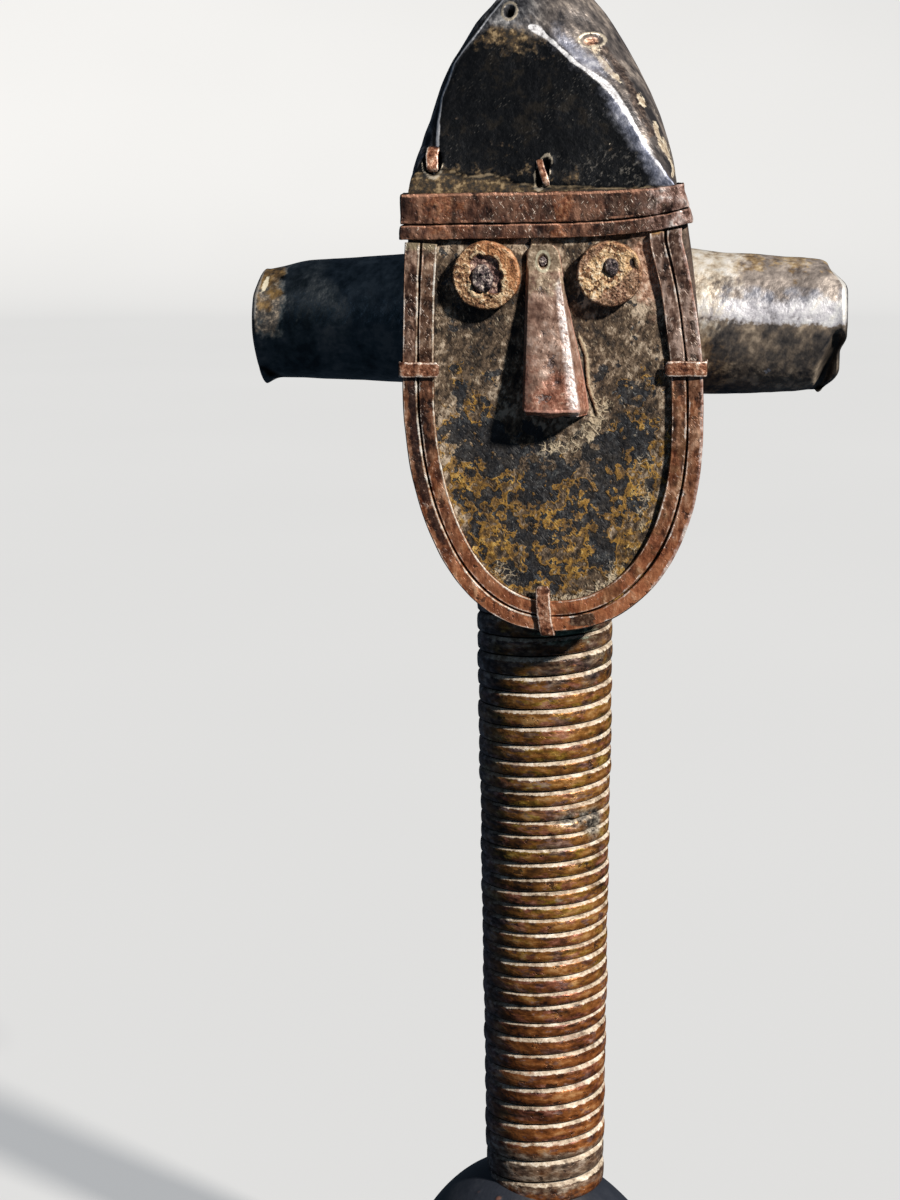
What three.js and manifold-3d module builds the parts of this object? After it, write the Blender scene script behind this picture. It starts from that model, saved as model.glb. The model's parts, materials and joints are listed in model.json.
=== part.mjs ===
// A reliquary guardian figure: a metal-clad head with a tall cap and two side pieces, on a long
// neck wound with brass strip, which stands in a low domed wooden foot.
// Millimetres, +Z up, the face looks along -Y, and the origin is the centre of the foot's flat
// underside. Left and right are the viewer's: left is -X.
import * as THREE from 'three';
import { mergeVertices } from 'three/addons/utils/BufferGeometryUtils.js';
import Module from 'manifold-3d';

const wasm = await Module();
wasm.setup();

// Gap between two pieces that touch.
const GAP = 0.3;

// Stand: the upper part of an upright ellipsoid that leans a little to the left, with a socket.
const STAND_HEIGHT = 81.5;
const STAND_RADIUS = 62;
const STAND_STEEPNESS = 1.76;
const STAND_LEAN = 0.08;
const STAND_EDGE = 3;
const SOCKET_DEPTH = 6.5;

// Neck: a core under a wound strip whose turns are narrower at mid-height.
const NECK_LENGTH = 202;
const NECK_RADIUS_BOTTOM = 20.5;
const NECK_RADIUS_TOP = 22.8;
const NECK_INTO_HEAD = 25;
const WINDING_TURNS = 39;
const WINDING_NARROWING = 0.16;
const WINDING_STEP = 0.9;
const WINDING_SIDES = 16;

// Head: a U-shaped face plate in front of a rounded back.
const HEAD_OFFSET = 4.9;
const FACE_HEIGHT = 124.6;
const FACE_HALF_WIDTH = 47.5;
const FACE_TOP_HALF_WIDTH = 44.2;
const CHIN_CURVE_LEFT = 82;
const CHIN_CURVE_RIGHT = 66;
const CHIN_POWER = 2.2;
const FACE_PLANE = -36.5;
const FACE_EDGE = 10;
const FACE_BOXINESS = 14;
const BROW_BOXINESS = 120;
const CHIN_THICKNESS = 12.5;
const NAPE_CURVE = 34;
const HEAD_BACK = 26;
const BACK_POWER = 2.2;

// From this height above the chin the head and the cap lean to the left, most at the apex.
const LEAN_START = 85;
const HEAD_LEAN = 5.2;

// Brow bands, which lie over the seam between the head and the cap and curl up at the right.
const BAND_NARROW_HEIGHT = 4.7;
const BAND_WIDE_HEIGHT = 9.6;
const BAND_THICKNESS = 1.3;
const BAND_ROOM = 0.7;
const BAND_TILT = 0.018;
const BAND_CURL = 3.8;
const BAND_TOP_CURL = 1.6;

// Cap: a tall rounded crest with a flat facet in front, which turns to the left as it rises.
const CAP_HEIGHT = 69;
const CAP_HALF_WIDTH = 43.2;
const CAP_FULLNESS_LEFT = 2.4;
const CAP_BULGE = 44;
const CAP_APEX_SET_BACK = 6.5;
const CAP_ROUND_FROM = 24;
const CAP_POWER = 2.4;
const CAP_BOXINESS = 5;
const FACET_HEIGHT = 48;
const FACET_SET_BACK = 16.8;
const FACET_TURN = 0.12;

// Ears: tapering side pieces with a soft ridge along the front.
const EAR_LENGTH_LEFT = 50.8;
const EAR_LENGTH_RIGHT = 45.4;
const EAR_ROOT_HEIGHT_LEFT = 43;
const EAR_ROOT_HEIGHT_RIGHT = 47.6;
const EAR_TIP_HEIGHT_LEFT = 37.5;
const EAR_TIP_HEIGHT_RIGHT = 41.6;
const EAR_BELOW_BROW_LEFT = 27.4;
const EAR_BELOW_BROW_RIGHT = 28.2;
const EAR_DEPTH_SHARE = 0.83;
const EAR_SET_BACK = 30;
const EAR_DROOP = 1;
const EAR_CHAMFER = 3.5;
const EAR_POWER = 1.8;
const EAR_SOCKET = 16;

// Copper strips round the face, and what holds them.
const STRIP_WIDTH = 4.9;
const STRIP_THICKNESS = 1.7;
const STRIP_SPACING = 0.35;
const STRIP_DRIFT = 2.2;
const CLIP_HEIGHT = 4.8;
const CLIP_THICKNESS = 1;
const CLIP_LEG = 9;
const CLIP_OVERHANG = 2.2;
const CLIP_BELOW_BROW_LEFT = 41.1;
const CLIP_BELOW_BROW_RIGHT = 40.2;
const CHIN_CLIP_WIDTH = 5.6;
const CHIN_CLIP_HEIGHT = 15;
const CHIN_CLIP_X = -2.5;
const CHIN_CLIP_HOOK = 9;

// Nose: a folded wedge hung from a flat tab.
const NOSE_LENGTH = 52.7;
const NOSE_BELOW_BROW = 2.3;
const NOSE_TAB_LENGTH = 8;
const NOSE_TAB_THICKNESS = 1.2;
const NOSE_TOP_WIDTH = 10;
const NOSE_BOTTOM_WIDTH = 22;
const NOSE_RIDGE_WIDTH = 15;
const NOSE_HEIGHT = 11;
const NOSE_TOP_X = -3.2;
const NOSE_BOTTOM_X = 2.4;

// Eyes: discs on nails, each resting on the face.
const EYE_X_LEFT = -20.4;
const EYE_X_RIGHT = 17.9;
const EYE_BELOW_BROW_LEFT = 11.6;
const EYE_BELOW_BROW_RIGHT = 10.8;
const EYE_RADIUS_LEFT = 10.3;
const EYE_RADIUS_RIGHT = 10.1;
const EYE_THICKNESS = 4.6;
const EYE_EDGE = 1.1;
const NAIL_HEAD_RADIUS_LEFT = 4.4;
const NAIL_HEAD_RADIUS_RIGHT = 2.7;
const NAIL_X_RIGHT = 0.7;
const NAIL_UP_RIGHT = 2.3;
const NAIL_SHANK_RADIUS = 1.5;
const NAIL_HEAD_HEIGHT = 1.6;
const NOSE_NAIL_RADIUS = 1.9;

// Bent staples in slots of the cap's facet, each turned a little in it.
const STAPLE_THICKNESS = 1.2;
const STAPLE_LEFT_X = -37.8;
const STAPLE_LEFT_UP = 9.5;
const STAPLE_LEFT_WIDTH = 4.2;
const STAPLE_LEFT_LENGTH = 7.6;
const STAPLE_LEFT_TURN = 0.12;
const STAPLE_FRONT_X = -3;
const STAPLE_FRONT_UP = 5.2;
const STAPLE_FRONT_WIDTH = 2.4;
const STAPLE_FRONT_LENGTH = 8.2;
const STAPLE_FRONT_TURN = -0.3;

// Levels that follow from the sizes above.
const SEAT_Z = STAND_HEIGHT - SOCKET_DEPTH;
const CHIN_Z = SEAT_Z + NECK_LENGTH;
const BROW_Z = CHIN_Z + FACE_HEIGHT;
const BAND_TOP_Z = BROW_Z + BAND_NARROW_HEIGHT + BAND_WIDE_HEIGHT;
const APEX_Z = BAND_TOP_Z + CAP_HEIGHT;
const NECK_TOP_Z = CHIN_Z + NECK_INTO_HEAD;
const SEAM_Z = BROW_Z + BAND_NARROW_HEIGHT + BAND_WIDE_HEIGHT / 2;

// Colours, roughness and metalness, one material for each finish.
const finish = (color, roughness, metalness) =>
  new THREE.MeshStandardMaterial({ color, roughness, metalness });
const darkSheet = finish(0x2e2a22, 0.38, 0.8);
const faceSheet = finish(0x5a4f36, 0.6, 0.6);
const copper = finish(0x7a4530, 0.45, 0.8);
const windingBrass = finish(0x76552c, 0.42, 0.8);
const discCopper = finish(0xa0683a, 0.7, 0.4);
const iron = finish(0x3a3236, 0.8, 0.5);
const darkWood = finish(0x23252c, 0.5, 0);

const signedPower = (value, power) => Math.sign(value) * Math.abs(value) ** power;
const mix = (a, b, share) => a + (b - a) * share;
const clamp01 = (value) => Math.min(1, Math.max(0, value));
const steps = (count) => Array.from({ length: count + 1 }, (_, i) => i / count);
const ringAngles = (count) => Array.from({ length: count }, (_, i) => i / count * Math.PI * 2);

// A closed body through rings of points, each ring with as many points as the next. The ends are
// flat fans, or with closed = true the last ring joins the first.
function loft(rings, closed = false) {
  const count = rings[0].length;
  const position = rings.flat().flatMap((p) => [p.x, p.y, p.z]);
  const index = [];
  const bands = closed ? rings.length : rings.length - 1;
  for (let r = 0; r < bands; r++) {
    const next = (r + 1) % rings.length;
    for (let i = 0; i < count; i++) {
      const j = (i + 1) % count;
      index.push(r * count + i, r * count + j, next * count + j);
      index.push(r * count + i, next * count + j, next * count + i);
    }
  }
  if (!closed) {
    for (const [ring, start, turn] of [[rings[0], 0, 1], [rings.at(-1), bands * count, -1]]) {
      const middle = ring.reduce((sum, p) => sum.add(p), new THREE.Vector3());
      middle.divideScalar(count);
      position.push(middle.x, middle.y, middle.z);
      const centre = position.length / 3 - 1;
      for (let i = 0; i < count; i++) {
        const pair = [start + i, start + (i + 1) % count];
        if (turn > 0) pair.reverse();
        index.push(centre, ...pair);
      }
    }
  }
  const geometry = new THREE.BufferGeometry();
  geometry.setAttribute('position', new THREE.Float32BufferAttribute(position, 3));
  geometry.setIndex(index);
  return facingOut(geometry);
}

// Turns every face round if the body's signed volume is negative.
function facingOut(geometry) {
  const at = (i) => new THREE.Vector3().fromBufferAttribute(geometry.attributes.position, i);
  const index = geometry.index.array;
  let volume = 0;
  for (let i = 0; i < index.length; i += 3) {
    volume += at(index[i]).dot(at(index[i + 1]).cross(at(index[i + 2])));
  }
  if (volume < 0) index.reverse();
  return geometry;
}

// A closed geometry as a solid that can be cut, and back again.
function solid(geometry) {
  const bare = geometry.clone();
  bare.deleteAttribute('normal');
  bare.deleteAttribute('uv');
  const merged = mergeVertices(bare);
  return new wasm.Manifold(new wasm.Mesh({
    numProp: 3,
    vertProperties: merged.attributes.position.array,
    triVerts: new Uint32Array(merged.index.array),
  }));
}

function geometryOf(manifold) {
  const made = manifold.getMesh();
  const geometry = new THREE.BufferGeometry();
  geometry.setAttribute('position', new THREE.Float32BufferAttribute(made.vertProperties, 3));
  geometry.setIndex([...made.triVerts]);
  return geometry;
}

// An upright cylinder between two levels.
function upright(radius, low, high, sides) {
  const geometry = new THREE.CylinderGeometry(radius, radius, high - low, sides);
  return geometry.rotateX(Math.PI / 2).translate(0, 0, (low + high) / 2);
}

function mesh(name, geometry, material) {
  const made = new THREE.Mesh(geometry, material);
  made.name = name;
  return made;
}

// Stand

// Radius of the dome at a height.
function standRadius(z) {
  const rise = STAND_RADIUS * STAND_STEEPNESS;
  return STAND_RADIUS * Math.sqrt(Math.max(0, 1 - ((z + rise - STAND_HEIGHT) / rise) ** 2));
}

function makeStand() {
  const ring = (z, inset) => ringAngles(32).map((angle) => {
    const radius = standRadius(z) - inset;
    return new THREE.Vector3(
      radius * Math.cos(angle) - STAND_LEAN * z, radius * Math.sin(angle), z);
  });
  const top = STAND_HEIGHT - 0.6;
  const levels = steps(11).map((s) => mix(STAND_EDGE, top, Math.sin(s * Math.PI / 2)));
  const dome = solid(loft([ring(0, STAND_EDGE), ...levels.map((z) => ring(z, 0))]));
  const socket = upright(neckRadius(STAND_HEIGHT) + GAP, SEAT_Z, STAND_HEIGHT + GAP, 40);
  return mesh('stand', geometryOf(dome.subtract(solid(socket))), darkWood);
}

// Neck

const neckRadius = (z) => mix(NECK_RADIUS_BOTTOM, NECK_RADIUS_TOP, (z - SEAT_Z) / NECK_LENGTH);

// Height of the strip after some turns: the pitch is least at mid-height.
function windingHeight(turn, length) {
  const pitch = length / WINDING_TURNS;
  const swing = 2 * turn / WINDING_TURNS - 1;
  return pitch * (1 - WINDING_NARROWING) * turn
    + pitch * WINDING_NARROWING * WINDING_TURNS / 2 * (swing ** 3 + 1);
}

// The winding is one helix: each turn rises from its groove to the strip's lower edge, runs up
// its flat face to the upper edge and falls back to the next groove. It is wound a turn too far
// at each end and cut flat there.
function makeNeck() {
  const base = SEAT_Z + GAP;
  const length = NECK_TOP_Z - base;
  const profile = [{ share: 0, out: -WINDING_STEP }, { share: 0.1, out: 0 }, { share: 0.78, out: 0 }];
  const sides = WINDING_SIDES;
  const rows = (WINDING_TURNS + 2) * sides;
  const position = [];
  for (let step = 0; step <= rows + sides; step++) {
    for (const { share, out } of profile) {
      const turn = step / sides - 1 + share;
      const z = base + windingHeight(turn, length);
      const radius = neckRadius(z) + out;
      const angle = step / sides * Math.PI * 2;
      position.push(radius * Math.cos(angle), radius * Math.sin(angle), z);
    }
  }
  const across = profile.length;
  const at = (step, q) => (q < across ? step * across + q : (step + sides) * across);
  const index = [];
  for (let step = 0; step < rows; step++) {
    for (let q = 0; q < across; q++) {
      index.push(at(step, q), at(step + 1, q), at(step + 1, q + 1));
      index.push(at(step, q), at(step + 1, q + 1), at(step, q + 1));
    }
  }
  const seam = profile.map((_, q) => q);
  const bottom = [...steps(sides).map((s) => at(Math.round(s * sides), 0)),
    ...seam.slice(1).reverse().map((q) => at(0, q))];
  const top = [...seam.map((q) => at(rows, q)),
    ...steps(sides - 1).map((s) => at(rows + sides - Math.round(s * (sides - 1)), 0))];
  for (const [loop, z] of [[bottom, base - length], [top, base + 2 * length]]) {
    position.push(0, 0, z);
    const centre = position.length / 3 - 1;
    loop.forEach((a, i) => index.push(centre, loop[(i + 1) % loop.length], a));
  }
  const thread = new THREE.BufferGeometry();
  thread.setAttribute('position', new THREE.Float32BufferAttribute(position, 3));
  thread.setIndex(index);
  const slab = upright(2 * NECK_RADIUS_TOP + 2 * NECK_RADIUS_BOTTOM, base, NECK_TOP_Z, 4);
  const cut = solid(facingOut(thread)).intersect(solid(slab));
  return mesh('neck_winding', geometryOf(cut), windingBrass);
}

// Head and cap

// Half the face's width at a height above the chin, on one side: a rounded U that narrows a
// little upwards and reaches its full width sooner on the right.
function faceHalfWidth(up, side) {
  const curve = side < 0 ? CHIN_CURVE_LEFT : CHIN_CURVE_RIGHT;
  const chin = (1 - (1 - clamp01(up / curve)) ** CHIN_POWER) ** (1 / CHIN_POWER);
  const narrowing = clamp01((up - CHIN_CURVE_RIGHT) / (FACE_HEIGHT - CHIN_CURVE_RIGHT)) ** 2;
  return mix(FACE_HALF_WIDTH * chin, FACE_TOP_HALF_WIDTH, narrowing);
}

// How far the middle of the head has leaned to the left at a height.
function leanAt(z) {
  const start = CHIN_Z + LEAN_START;
  return HEAD_LEAN * clamp01((z - start) / (APEX_Z - start));
}

// Distance from the middle plane to the face's edge at a height, on one side.
const faceEdge = (z, side) => faceHalfWidth(z - CHIN_Z, side) - side * leanAt(z);

// The head's horizontal section: half width, front, widest level, back and boxiness in front.
function headSection(z, side) {
  const up = z - CHIN_Z;
  const intoBand = clamp01((z - BROW_Z) / (BAND_TOP_Z - BROW_Z));
  const width = z < BAND_TOP_Z
    ? mix(faceHalfWidth(up, side), CAP_HALF_WIDTH, intoBand)
    : capHalfWidth(z, side);
  const nape = Math.sqrt(1 - (1 - clamp01(up / NAPE_CURVE)) ** 2);
  const back = mix(FACE_PLANE + CHIN_THICKNESS, HEAD_BACK, nape);
  const power = up < FACE_HEIGHT - GAP ? FACE_BOXINESS : BROW_BOXINESS;
  return { width, front: FACE_PLANE, widest: FACE_PLANE + FACE_EDGE, back, power };
}

const capShare = (z) => clamp01((z - BAND_TOP_Z) / CAP_HEIGHT);

// Half the cap's width at a height, a little fuller on the left.
function capHalfWidth(z, side) {
  const up = capShare(z);
  const fullness = side < 0 ? CAP_FULLNESS_LEFT * Math.sin(Math.PI * up ** 0.8) : 0;
  return CAP_HALF_WIDTH * Math.sqrt(1 - up) + fullness;
}

// The cap's section before its facet is cut: everything shrinks towards the apex.
function capSection(z, side) {
  const up = capShare(z);
  const shrink = Math.sqrt(1 - up);
  const middle = CAP_APEX_SET_BACK * up;
  return {
    width: capHalfWidth(z, side),
    front: middle - CAP_BULGE * shrink,
    widest: mix(FACE_PLANE + FACE_EDGE, CAP_APEX_SET_BACK, up ** 0.6),
    back: middle + HEAD_BACK * shrink,
    power: CAP_POWER + CAP_BOXINESS * clamp01(1 - up * CAP_HEIGHT / CAP_ROUND_FROM),
  };
}

// One point of a section: the front half is a boxy superellipse, the back half a rounder one.
function sectionPoint(section, z, angle, grow) {
  const [across, along] = [Math.cos(angle), Math.sin(angle)];
  const inFront = along < 0;
  const power = inFront ? section.power : BACK_POWER;
  const reach = inFront ? section.widest - section.front : section.back - section.widest;
  const size = (Math.abs(across) ** power + Math.abs(along) ** power) ** (-1 / power);
  return new THREE.Vector3(
    (section.width + grow) * across * size - leanAt(z),
    section.widest + (reach + grow) * along * size,
    z,
  );
}

const SECTION_ANGLES = ringAngles(40);
const headPoint = (z, angle, grow) =>
  sectionPoint(headSection(z, Math.cos(angle)), z, angle, grow);
const capPoint = (z, angle) => sectionPoint(capSection(z, Math.cos(angle)), z, angle, 0);

function makeHead() {
  const chinLevels = steps(9).map((s) => mix(0.4, CHIN_CURVE_RIGHT, s ** 1.8));
  const levels = [...chinLevels.map((up) => CHIN_Z + up), mix(CHIN_Z + CHIN_CURVE_LEFT, BROW_Z, 0.3),
    BROW_Z, SEAM_Z - GAP / 2];
  const rings = levels.map((z) => SECTION_ANGLES.map((a) => headPoint(z, a, 0)));
  const socket = upright(neckRadius(NECK_TOP_Z) + GAP, 0, NECK_TOP_Z + GAP, 40);
  let body = solid(loft(rings)).subtract(solid(socket.translate(-HEAD_OFFSET, 0, 0)));
  for (const ear of EARS) body = body.subtract(solid(earGeometry(ear, GAP)));
  return mesh('head', geometryOf(body), faceSheet);
}

// Distance of the cap's facet in front of or behind the middle plane, at a place on it.
function facetPlane(x, z) {
  const up = Math.max(0, z - BAND_TOP_Z) / FACET_HEIGHT;
  return FACE_PLANE + (FACET_SET_BACK - FACET_TURN * (x + leanAt(z))) * up;
}

// The crest is lofted whole and its front is cut away along the facet.
function makeCap() {
  const levels = steps(13).map((s) => mix(SEAM_Z + GAP / 2, APEX_Z, Math.sin(s * Math.PI / 2.08)));
  const crest = loft(levels.map((z) => SECTION_ANGLES.map((angle) => capPoint(z, angle))));
  const reach = 1.2 * CAP_HALF_WIDTH;
  const cutLevels = [SEAM_Z - GAP, ...steps(4).map((s) => mix(BAND_TOP_Z, APEX_Z, s)), APEX_Z + reach];
  const cutter = loft(cutLevels.map((z) => [
    new THREE.Vector3(-reach, -2 * reach, z),
    new THREE.Vector3(reach, -2 * reach, z),
    ...steps(6).map((s) => mix(reach, -reach, s))
      .map((x) => new THREE.Vector3(x, facetPlane(x, z), z)),
  ]));
  return mesh('cap', geometryOf(solid(crest).subtract(solid(cutter))), darkSheet);
}

const EARS = [
  { name: 'ear_left', side: -1, length: EAR_LENGTH_LEFT, root: EAR_ROOT_HEIGHT_LEFT,
    tip: EAR_TIP_HEIGHT_LEFT, belowBrow: EAR_BELOW_BROW_LEFT },
  { name: 'ear_right', side: 1, length: EAR_LENGTH_RIGHT, root: EAR_ROOT_HEIGHT_RIGHT,
    tip: EAR_TIP_HEIGHT_RIGHT, belowBrow: EAR_BELOW_BROW_RIGHT },
];

// A side piece along X. It starts inside the head, where grow > 0 cuts the socket for it.
function earGeometry({ side, length, root, tip, belowBrow }, grow) {
  const inner = FACE_HALF_WIDTH - EAR_SOCKET - grow;
  const outer = FACE_HALF_WIDTH + length + grow;
  const stations = [
    { x: inner, inset: 0 },
    { x: mix(inner, outer, 0.6), inset: 0 },
    { x: outer - EAR_CHAMFER, inset: 0 },
    { x: outer, inset: EAR_CHAMFER },
  ];
  return loft(stations.map(({ x, inset }) => {
    const share = (x - FACE_HALF_WIDTH) / length;
    const height = mix(root, tip, share);
    const halfHeight = height / 2 + grow - inset;
    const halfDepth = EAR_DEPTH_SHARE * height / 2 + grow - inset;
    return ringAngles(24).map((angle) => new THREE.Vector3(
      side * x,
      FACE_PLANE + EAR_SET_BACK + halfDepth * signedPower(Math.cos(angle), 2 / EAR_POWER),
      BROW_Z - belowBrow - EAR_DROOP * share
        + halfHeight * signedPower(Math.sin(angle), 2 / EAR_POWER),
    ));
  }));
}

// Brow bands

// How far a band's edge rises at a place across the face.
const bandRise = (x, curl) => BAND_TILT * x + curl * clamp01(x / CAP_HALF_WIDTH) ** 2.5;

// A strip right round the head through the given edges, each a height and its curl.
function makeBand(name, edges) {
  const corner = ({ height, curl }, grow) => SECTION_ANGLES.map((angle) => {
    const level = height + bandRise(headPoint(height, angle, grow).x, curl);
    const section = { ...headSection(level, Math.cos(angle)), power: BROW_BOXINESS };
    return sectionPoint(section, level, angle, grow);
  });
  const outer = edges.map((edge) => corner(edge, BAND_ROOM + BAND_THICKNESS));
  const inner = edges.map((edge) => corner(edge, BAND_ROOM)).reverse();
  return mesh(name, loft([...outer, ...inner], true), copper);
}

function makeBands() {
  const between = BROW_Z + BAND_NARROW_HEIGHT;
  const half = { height: mix(between, BAND_TOP_Z, 0.5), curl: mix(BAND_CURL, BAND_TOP_CURL, 0.5) };
  return [
    makeBand('brow_band_narrow', [{ height: BROW_Z, curl: BAND_CURL },
      { height: between - GAP / 2, curl: BAND_CURL }]),
    makeBand('brow_band_wide', [{ height: between + GAP / 2, curl: BAND_CURL }, half,
      { height: BAND_TOP_Z, curl: BAND_TOP_CURL }]),
  ];
}

// Rim strips and clips

// The face's outline from under the bands at the upper left, round the chin, to the upper right.
function faceOutline() {
  const half = (side, curve) => {
    const end = side * (FACE_TOP_HALF_WIDTH - GAP);
    const top = BROW_Z + bandRise(end, BAND_CURL) - 2 * GAP - CHIN_Z;
    const flank = steps(6).slice(0, -1).map((s) => mix(top, curve, s));
    const chin = steps(10).map((s) => curve * (1 - Math.sin(s * Math.PI / 2)));
    return [...flank, ...chin].map((up) =>
      new THREE.Vector2(side * faceEdge(CHIN_Z + up, side), CHIN_Z + up));
  };
  const left = half(-1, CHIN_CURVE_LEFT).slice(0, -1);
  return [...left, ...half(1, CHIN_CURVE_RIGHT).reverse()];
}

// The outline moved inwards, square to its own direction and a little more at the upper right,
// and kept just under the bands.
function insetOutline(distance) {
  const line = faceOutline();
  return line.map((p, i) => {
    const before = line[Math.max(0, i - 1)];
    const after = line[Math.min(line.length - 1, i + 1)];
    const along = after.clone().sub(before).normalize();
    const rise = clamp01((p.y - CHIN_Z - CHIN_CURVE_RIGHT) / (FACE_HEIGHT - CHIN_CURVE_RIGHT));
    const drift = p.x > 0 ? STRIP_DRIFT * rise ** 1.5 : 0;
    const x = p.x - along.y * (distance + drift);
    const top = BROW_Z + bandRise(x, BAND_CURL) - 2 * GAP;
    return new THREE.Vector2(x, Math.min(top, p.y + along.x * (distance + drift)));
  });
}

// A flat shape drawn in x and z, standing on the face and reaching forwards.
function onFace(outline, low, high) {
  const geometry = new THREE.ExtrudeGeometry(new THREE.Shape(outline),
    { depth: high - low, bevelEnabled: false });
  return geometry.rotateX(Math.PI / 2).translate(0, FACE_PLANE - low, 0);
}

function makeStrips() {
  return ['outer', 'inner'].map((place, i) => {
    const near = i * (STRIP_WIDTH + STRIP_SPACING);
    const outline = [...insetOutline(near), ...insetOutline(near + STRIP_WIDTH).reverse()];
    return mesh(`rim_strip_${place}`, onFace(outline, GAP, GAP + STRIP_THICKNESS), copper);
  });
}

// A staple over both strips at the side of the face, with a leg along the edge of the face.
function makeSideClip(name, side, belowBrow) {
  const middle = BROW_Z - belowBrow;
  const edges = steps(4).map((s) => faceEdge(middle + (s - 0.5) * CLIP_HEIGHT, side));
  const edge = Math.max(...edges) + GAP;
  const reach = 2 * STRIP_WIDTH + STRIP_SPACING + CLIP_OVERHANG;
  const under = -(GAP + STRIP_THICKNESS + GAP);
  const plan = [
    [edge, CLIP_LEG], [edge, under], [edge - reach, under], [edge - reach, under - CLIP_THICKNESS],
    [edge + CLIP_THICKNESS, under - CLIP_THICKNESS], [edge + CLIP_THICKNESS, CLIP_LEG],
  ].map(([x, y]) => new THREE.Vector2(side * x, FACE_PLANE + y));
  const geometry = new THREE.ExtrudeGeometry(new THREE.Shape(plan),
    { depth: CLIP_HEIGHT, bevelEnabled: false });
  return mesh(name, geometry.translate(0, 0, middle - CLIP_HEIGHT / 2), copper);
}

// The staple at the chin: over both strips, then hooked under the chin's edge.
function makeChinClip() {
  const under = -(GAP + STRIP_THICKNESS + GAP);
  const bottom = -GAP;
  const profile = [
    [under, CHIN_CLIP_HEIGHT], [under, bottom], [CHIN_CLIP_HOOK, bottom],
    [CHIN_CLIP_HOOK, bottom - CLIP_THICKNESS], [under - CLIP_THICKNESS, bottom - CLIP_THICKNESS],
    [under - CLIP_THICKNESS, CHIN_CLIP_HEIGHT],
  ].map(([y, z]) => new THREE.Vector2(FACE_PLANE + y, CHIN_Z + z));
  const geometry = new THREE.ExtrudeGeometry(new THREE.Shape(profile),
    { depth: CHIN_CLIP_WIDTH, bevelEnabled: false });
  geometry.rotateX(Math.PI / 2).rotateZ(Math.PI / 2);
  return mesh('clip_chin', geometry.translate(CHIN_CLIP_X - CHIN_CLIP_WIDTH / 2, 0, 0), copper);
}

// Nose and eyes

function makeNose() {
  const top = BROW_Z - NOSE_BELOW_BROW;
  const ring = (down, height) => {
    const share = down / NOSE_LENGTH;
    const x = mix(NOSE_TOP_X, NOSE_BOTTOM_X, share);
    const base = mix(NOSE_TOP_WIDTH, NOSE_BOTTOM_WIDTH, share) / 2;
    const ridge = mix(0.8 * NOSE_TOP_WIDTH, NOSE_RIDGE_WIDTH, share) / 2;
    const back = FACE_PLANE - GAP;
    return [[-base, 0], [-ridge, height * 0.86], [-ridge * 0.7, height], [ridge * 0.7, height],
      [ridge, height * 0.86], [base, 0]].map(([dx, out]) =>
      new THREE.Vector3(x + dx, back - out, top - down));
  };
  const rise = (share) => mix(NOSE_TAB_THICKNESS, NOSE_HEIGHT, share ** 0.9);
  const slope = steps(4).map((s) => ring(mix(NOSE_TAB_LENGTH, NOSE_LENGTH, s), rise(s)));
  return mesh('nose', loft([ring(0, NOSE_TAB_THICKNESS), ...slope]), copper);
}

// A turned piece on the face: a profile of radius and distance in front of the face.
function turnedOnFace(profile, sides, x, z) {
  const points = profile.map(([radius, out]) => new THREE.Vector2(radius, out));
  const geometry = new THREE.LatheGeometry(points, sides);
  geometry.deleteAttribute('normal');
  geometry.deleteAttribute('uv');
  const merged = mergeVertices(geometry.rotateX(Math.PI), 1e-5);
  return facingOut(dropSlivers(merged)).translate(x, FACE_PLANE, z);
}

// A lathe's pole is a ring of equal points, so its faces without area are left out.
function dropSlivers(geometry) {
  const index = geometry.index.array;
  const kept = [];
  for (let i = 0; i < index.length; i += 3) {
    const [a, b, c] = index.slice(i, i + 3);
    if (a !== b && b !== c && c !== a) kept.push(a, b, c);
  }
  geometry.setIndex(kept);
  return geometry;
}

const EYES = [
  { side: 'left', x: EYE_X_LEFT, belowBrow: EYE_BELOW_BROW_LEFT, radius: EYE_RADIUS_LEFT,
    nailRadius: NAIL_HEAD_RADIUS_LEFT, nailX: 0, nailUp: 0 },
  { side: 'right', x: EYE_X_RIGHT, belowBrow: EYE_BELOW_BROW_RIGHT, radius: EYE_RADIUS_RIGHT,
    nailRadius: NAIL_HEAD_RADIUS_RIGHT, nailX: NAIL_X_RIGHT, nailUp: NAIL_UP_RIGHT },
];

// A disc with a rounded rim and a hole for its nail, and the nail with its domed head.
function makeEye({ side, x, belowBrow, radius, nailRadius, nailX, nailUp }) {
  const z = BROW_Z - belowBrow;
  const hole = NAIL_SHANK_RADIUS + GAP;
  const front = GAP + EYE_THICKNESS;
  const profile = [[0, GAP], [radius - EYE_EDGE, GAP], [radius, GAP + EYE_EDGE],
    [radius, front - EYE_EDGE], [radius - EYE_EDGE, front], [0, front]];
  const drill = [[0, 0], [hole, 0], [hole, front + GAP], [0, front + GAP]];
  const disc = solid(turnedOnFace(profile, 24, x, z))
    .subtract(solid(turnedOnFace(drill, 12, x + nailX, z + nailUp)));
  const under = front + GAP;
  const nail = [[0, GAP], [NAIL_SHANK_RADIUS, GAP], [NAIL_SHANK_RADIUS, under],
    [nailRadius, under], [nailRadius * 0.6, under + NAIL_HEAD_HEIGHT], [0, under + NAIL_HEAD_HEIGHT]];
  return [
    mesh(`eye_disc_${side}`, geometryOf(disc), discCopper),
    mesh(`eye_nail_${side}`, turnedOnFace(nail, 12, x + nailX, z + nailUp), iron),
  ];
}

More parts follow.
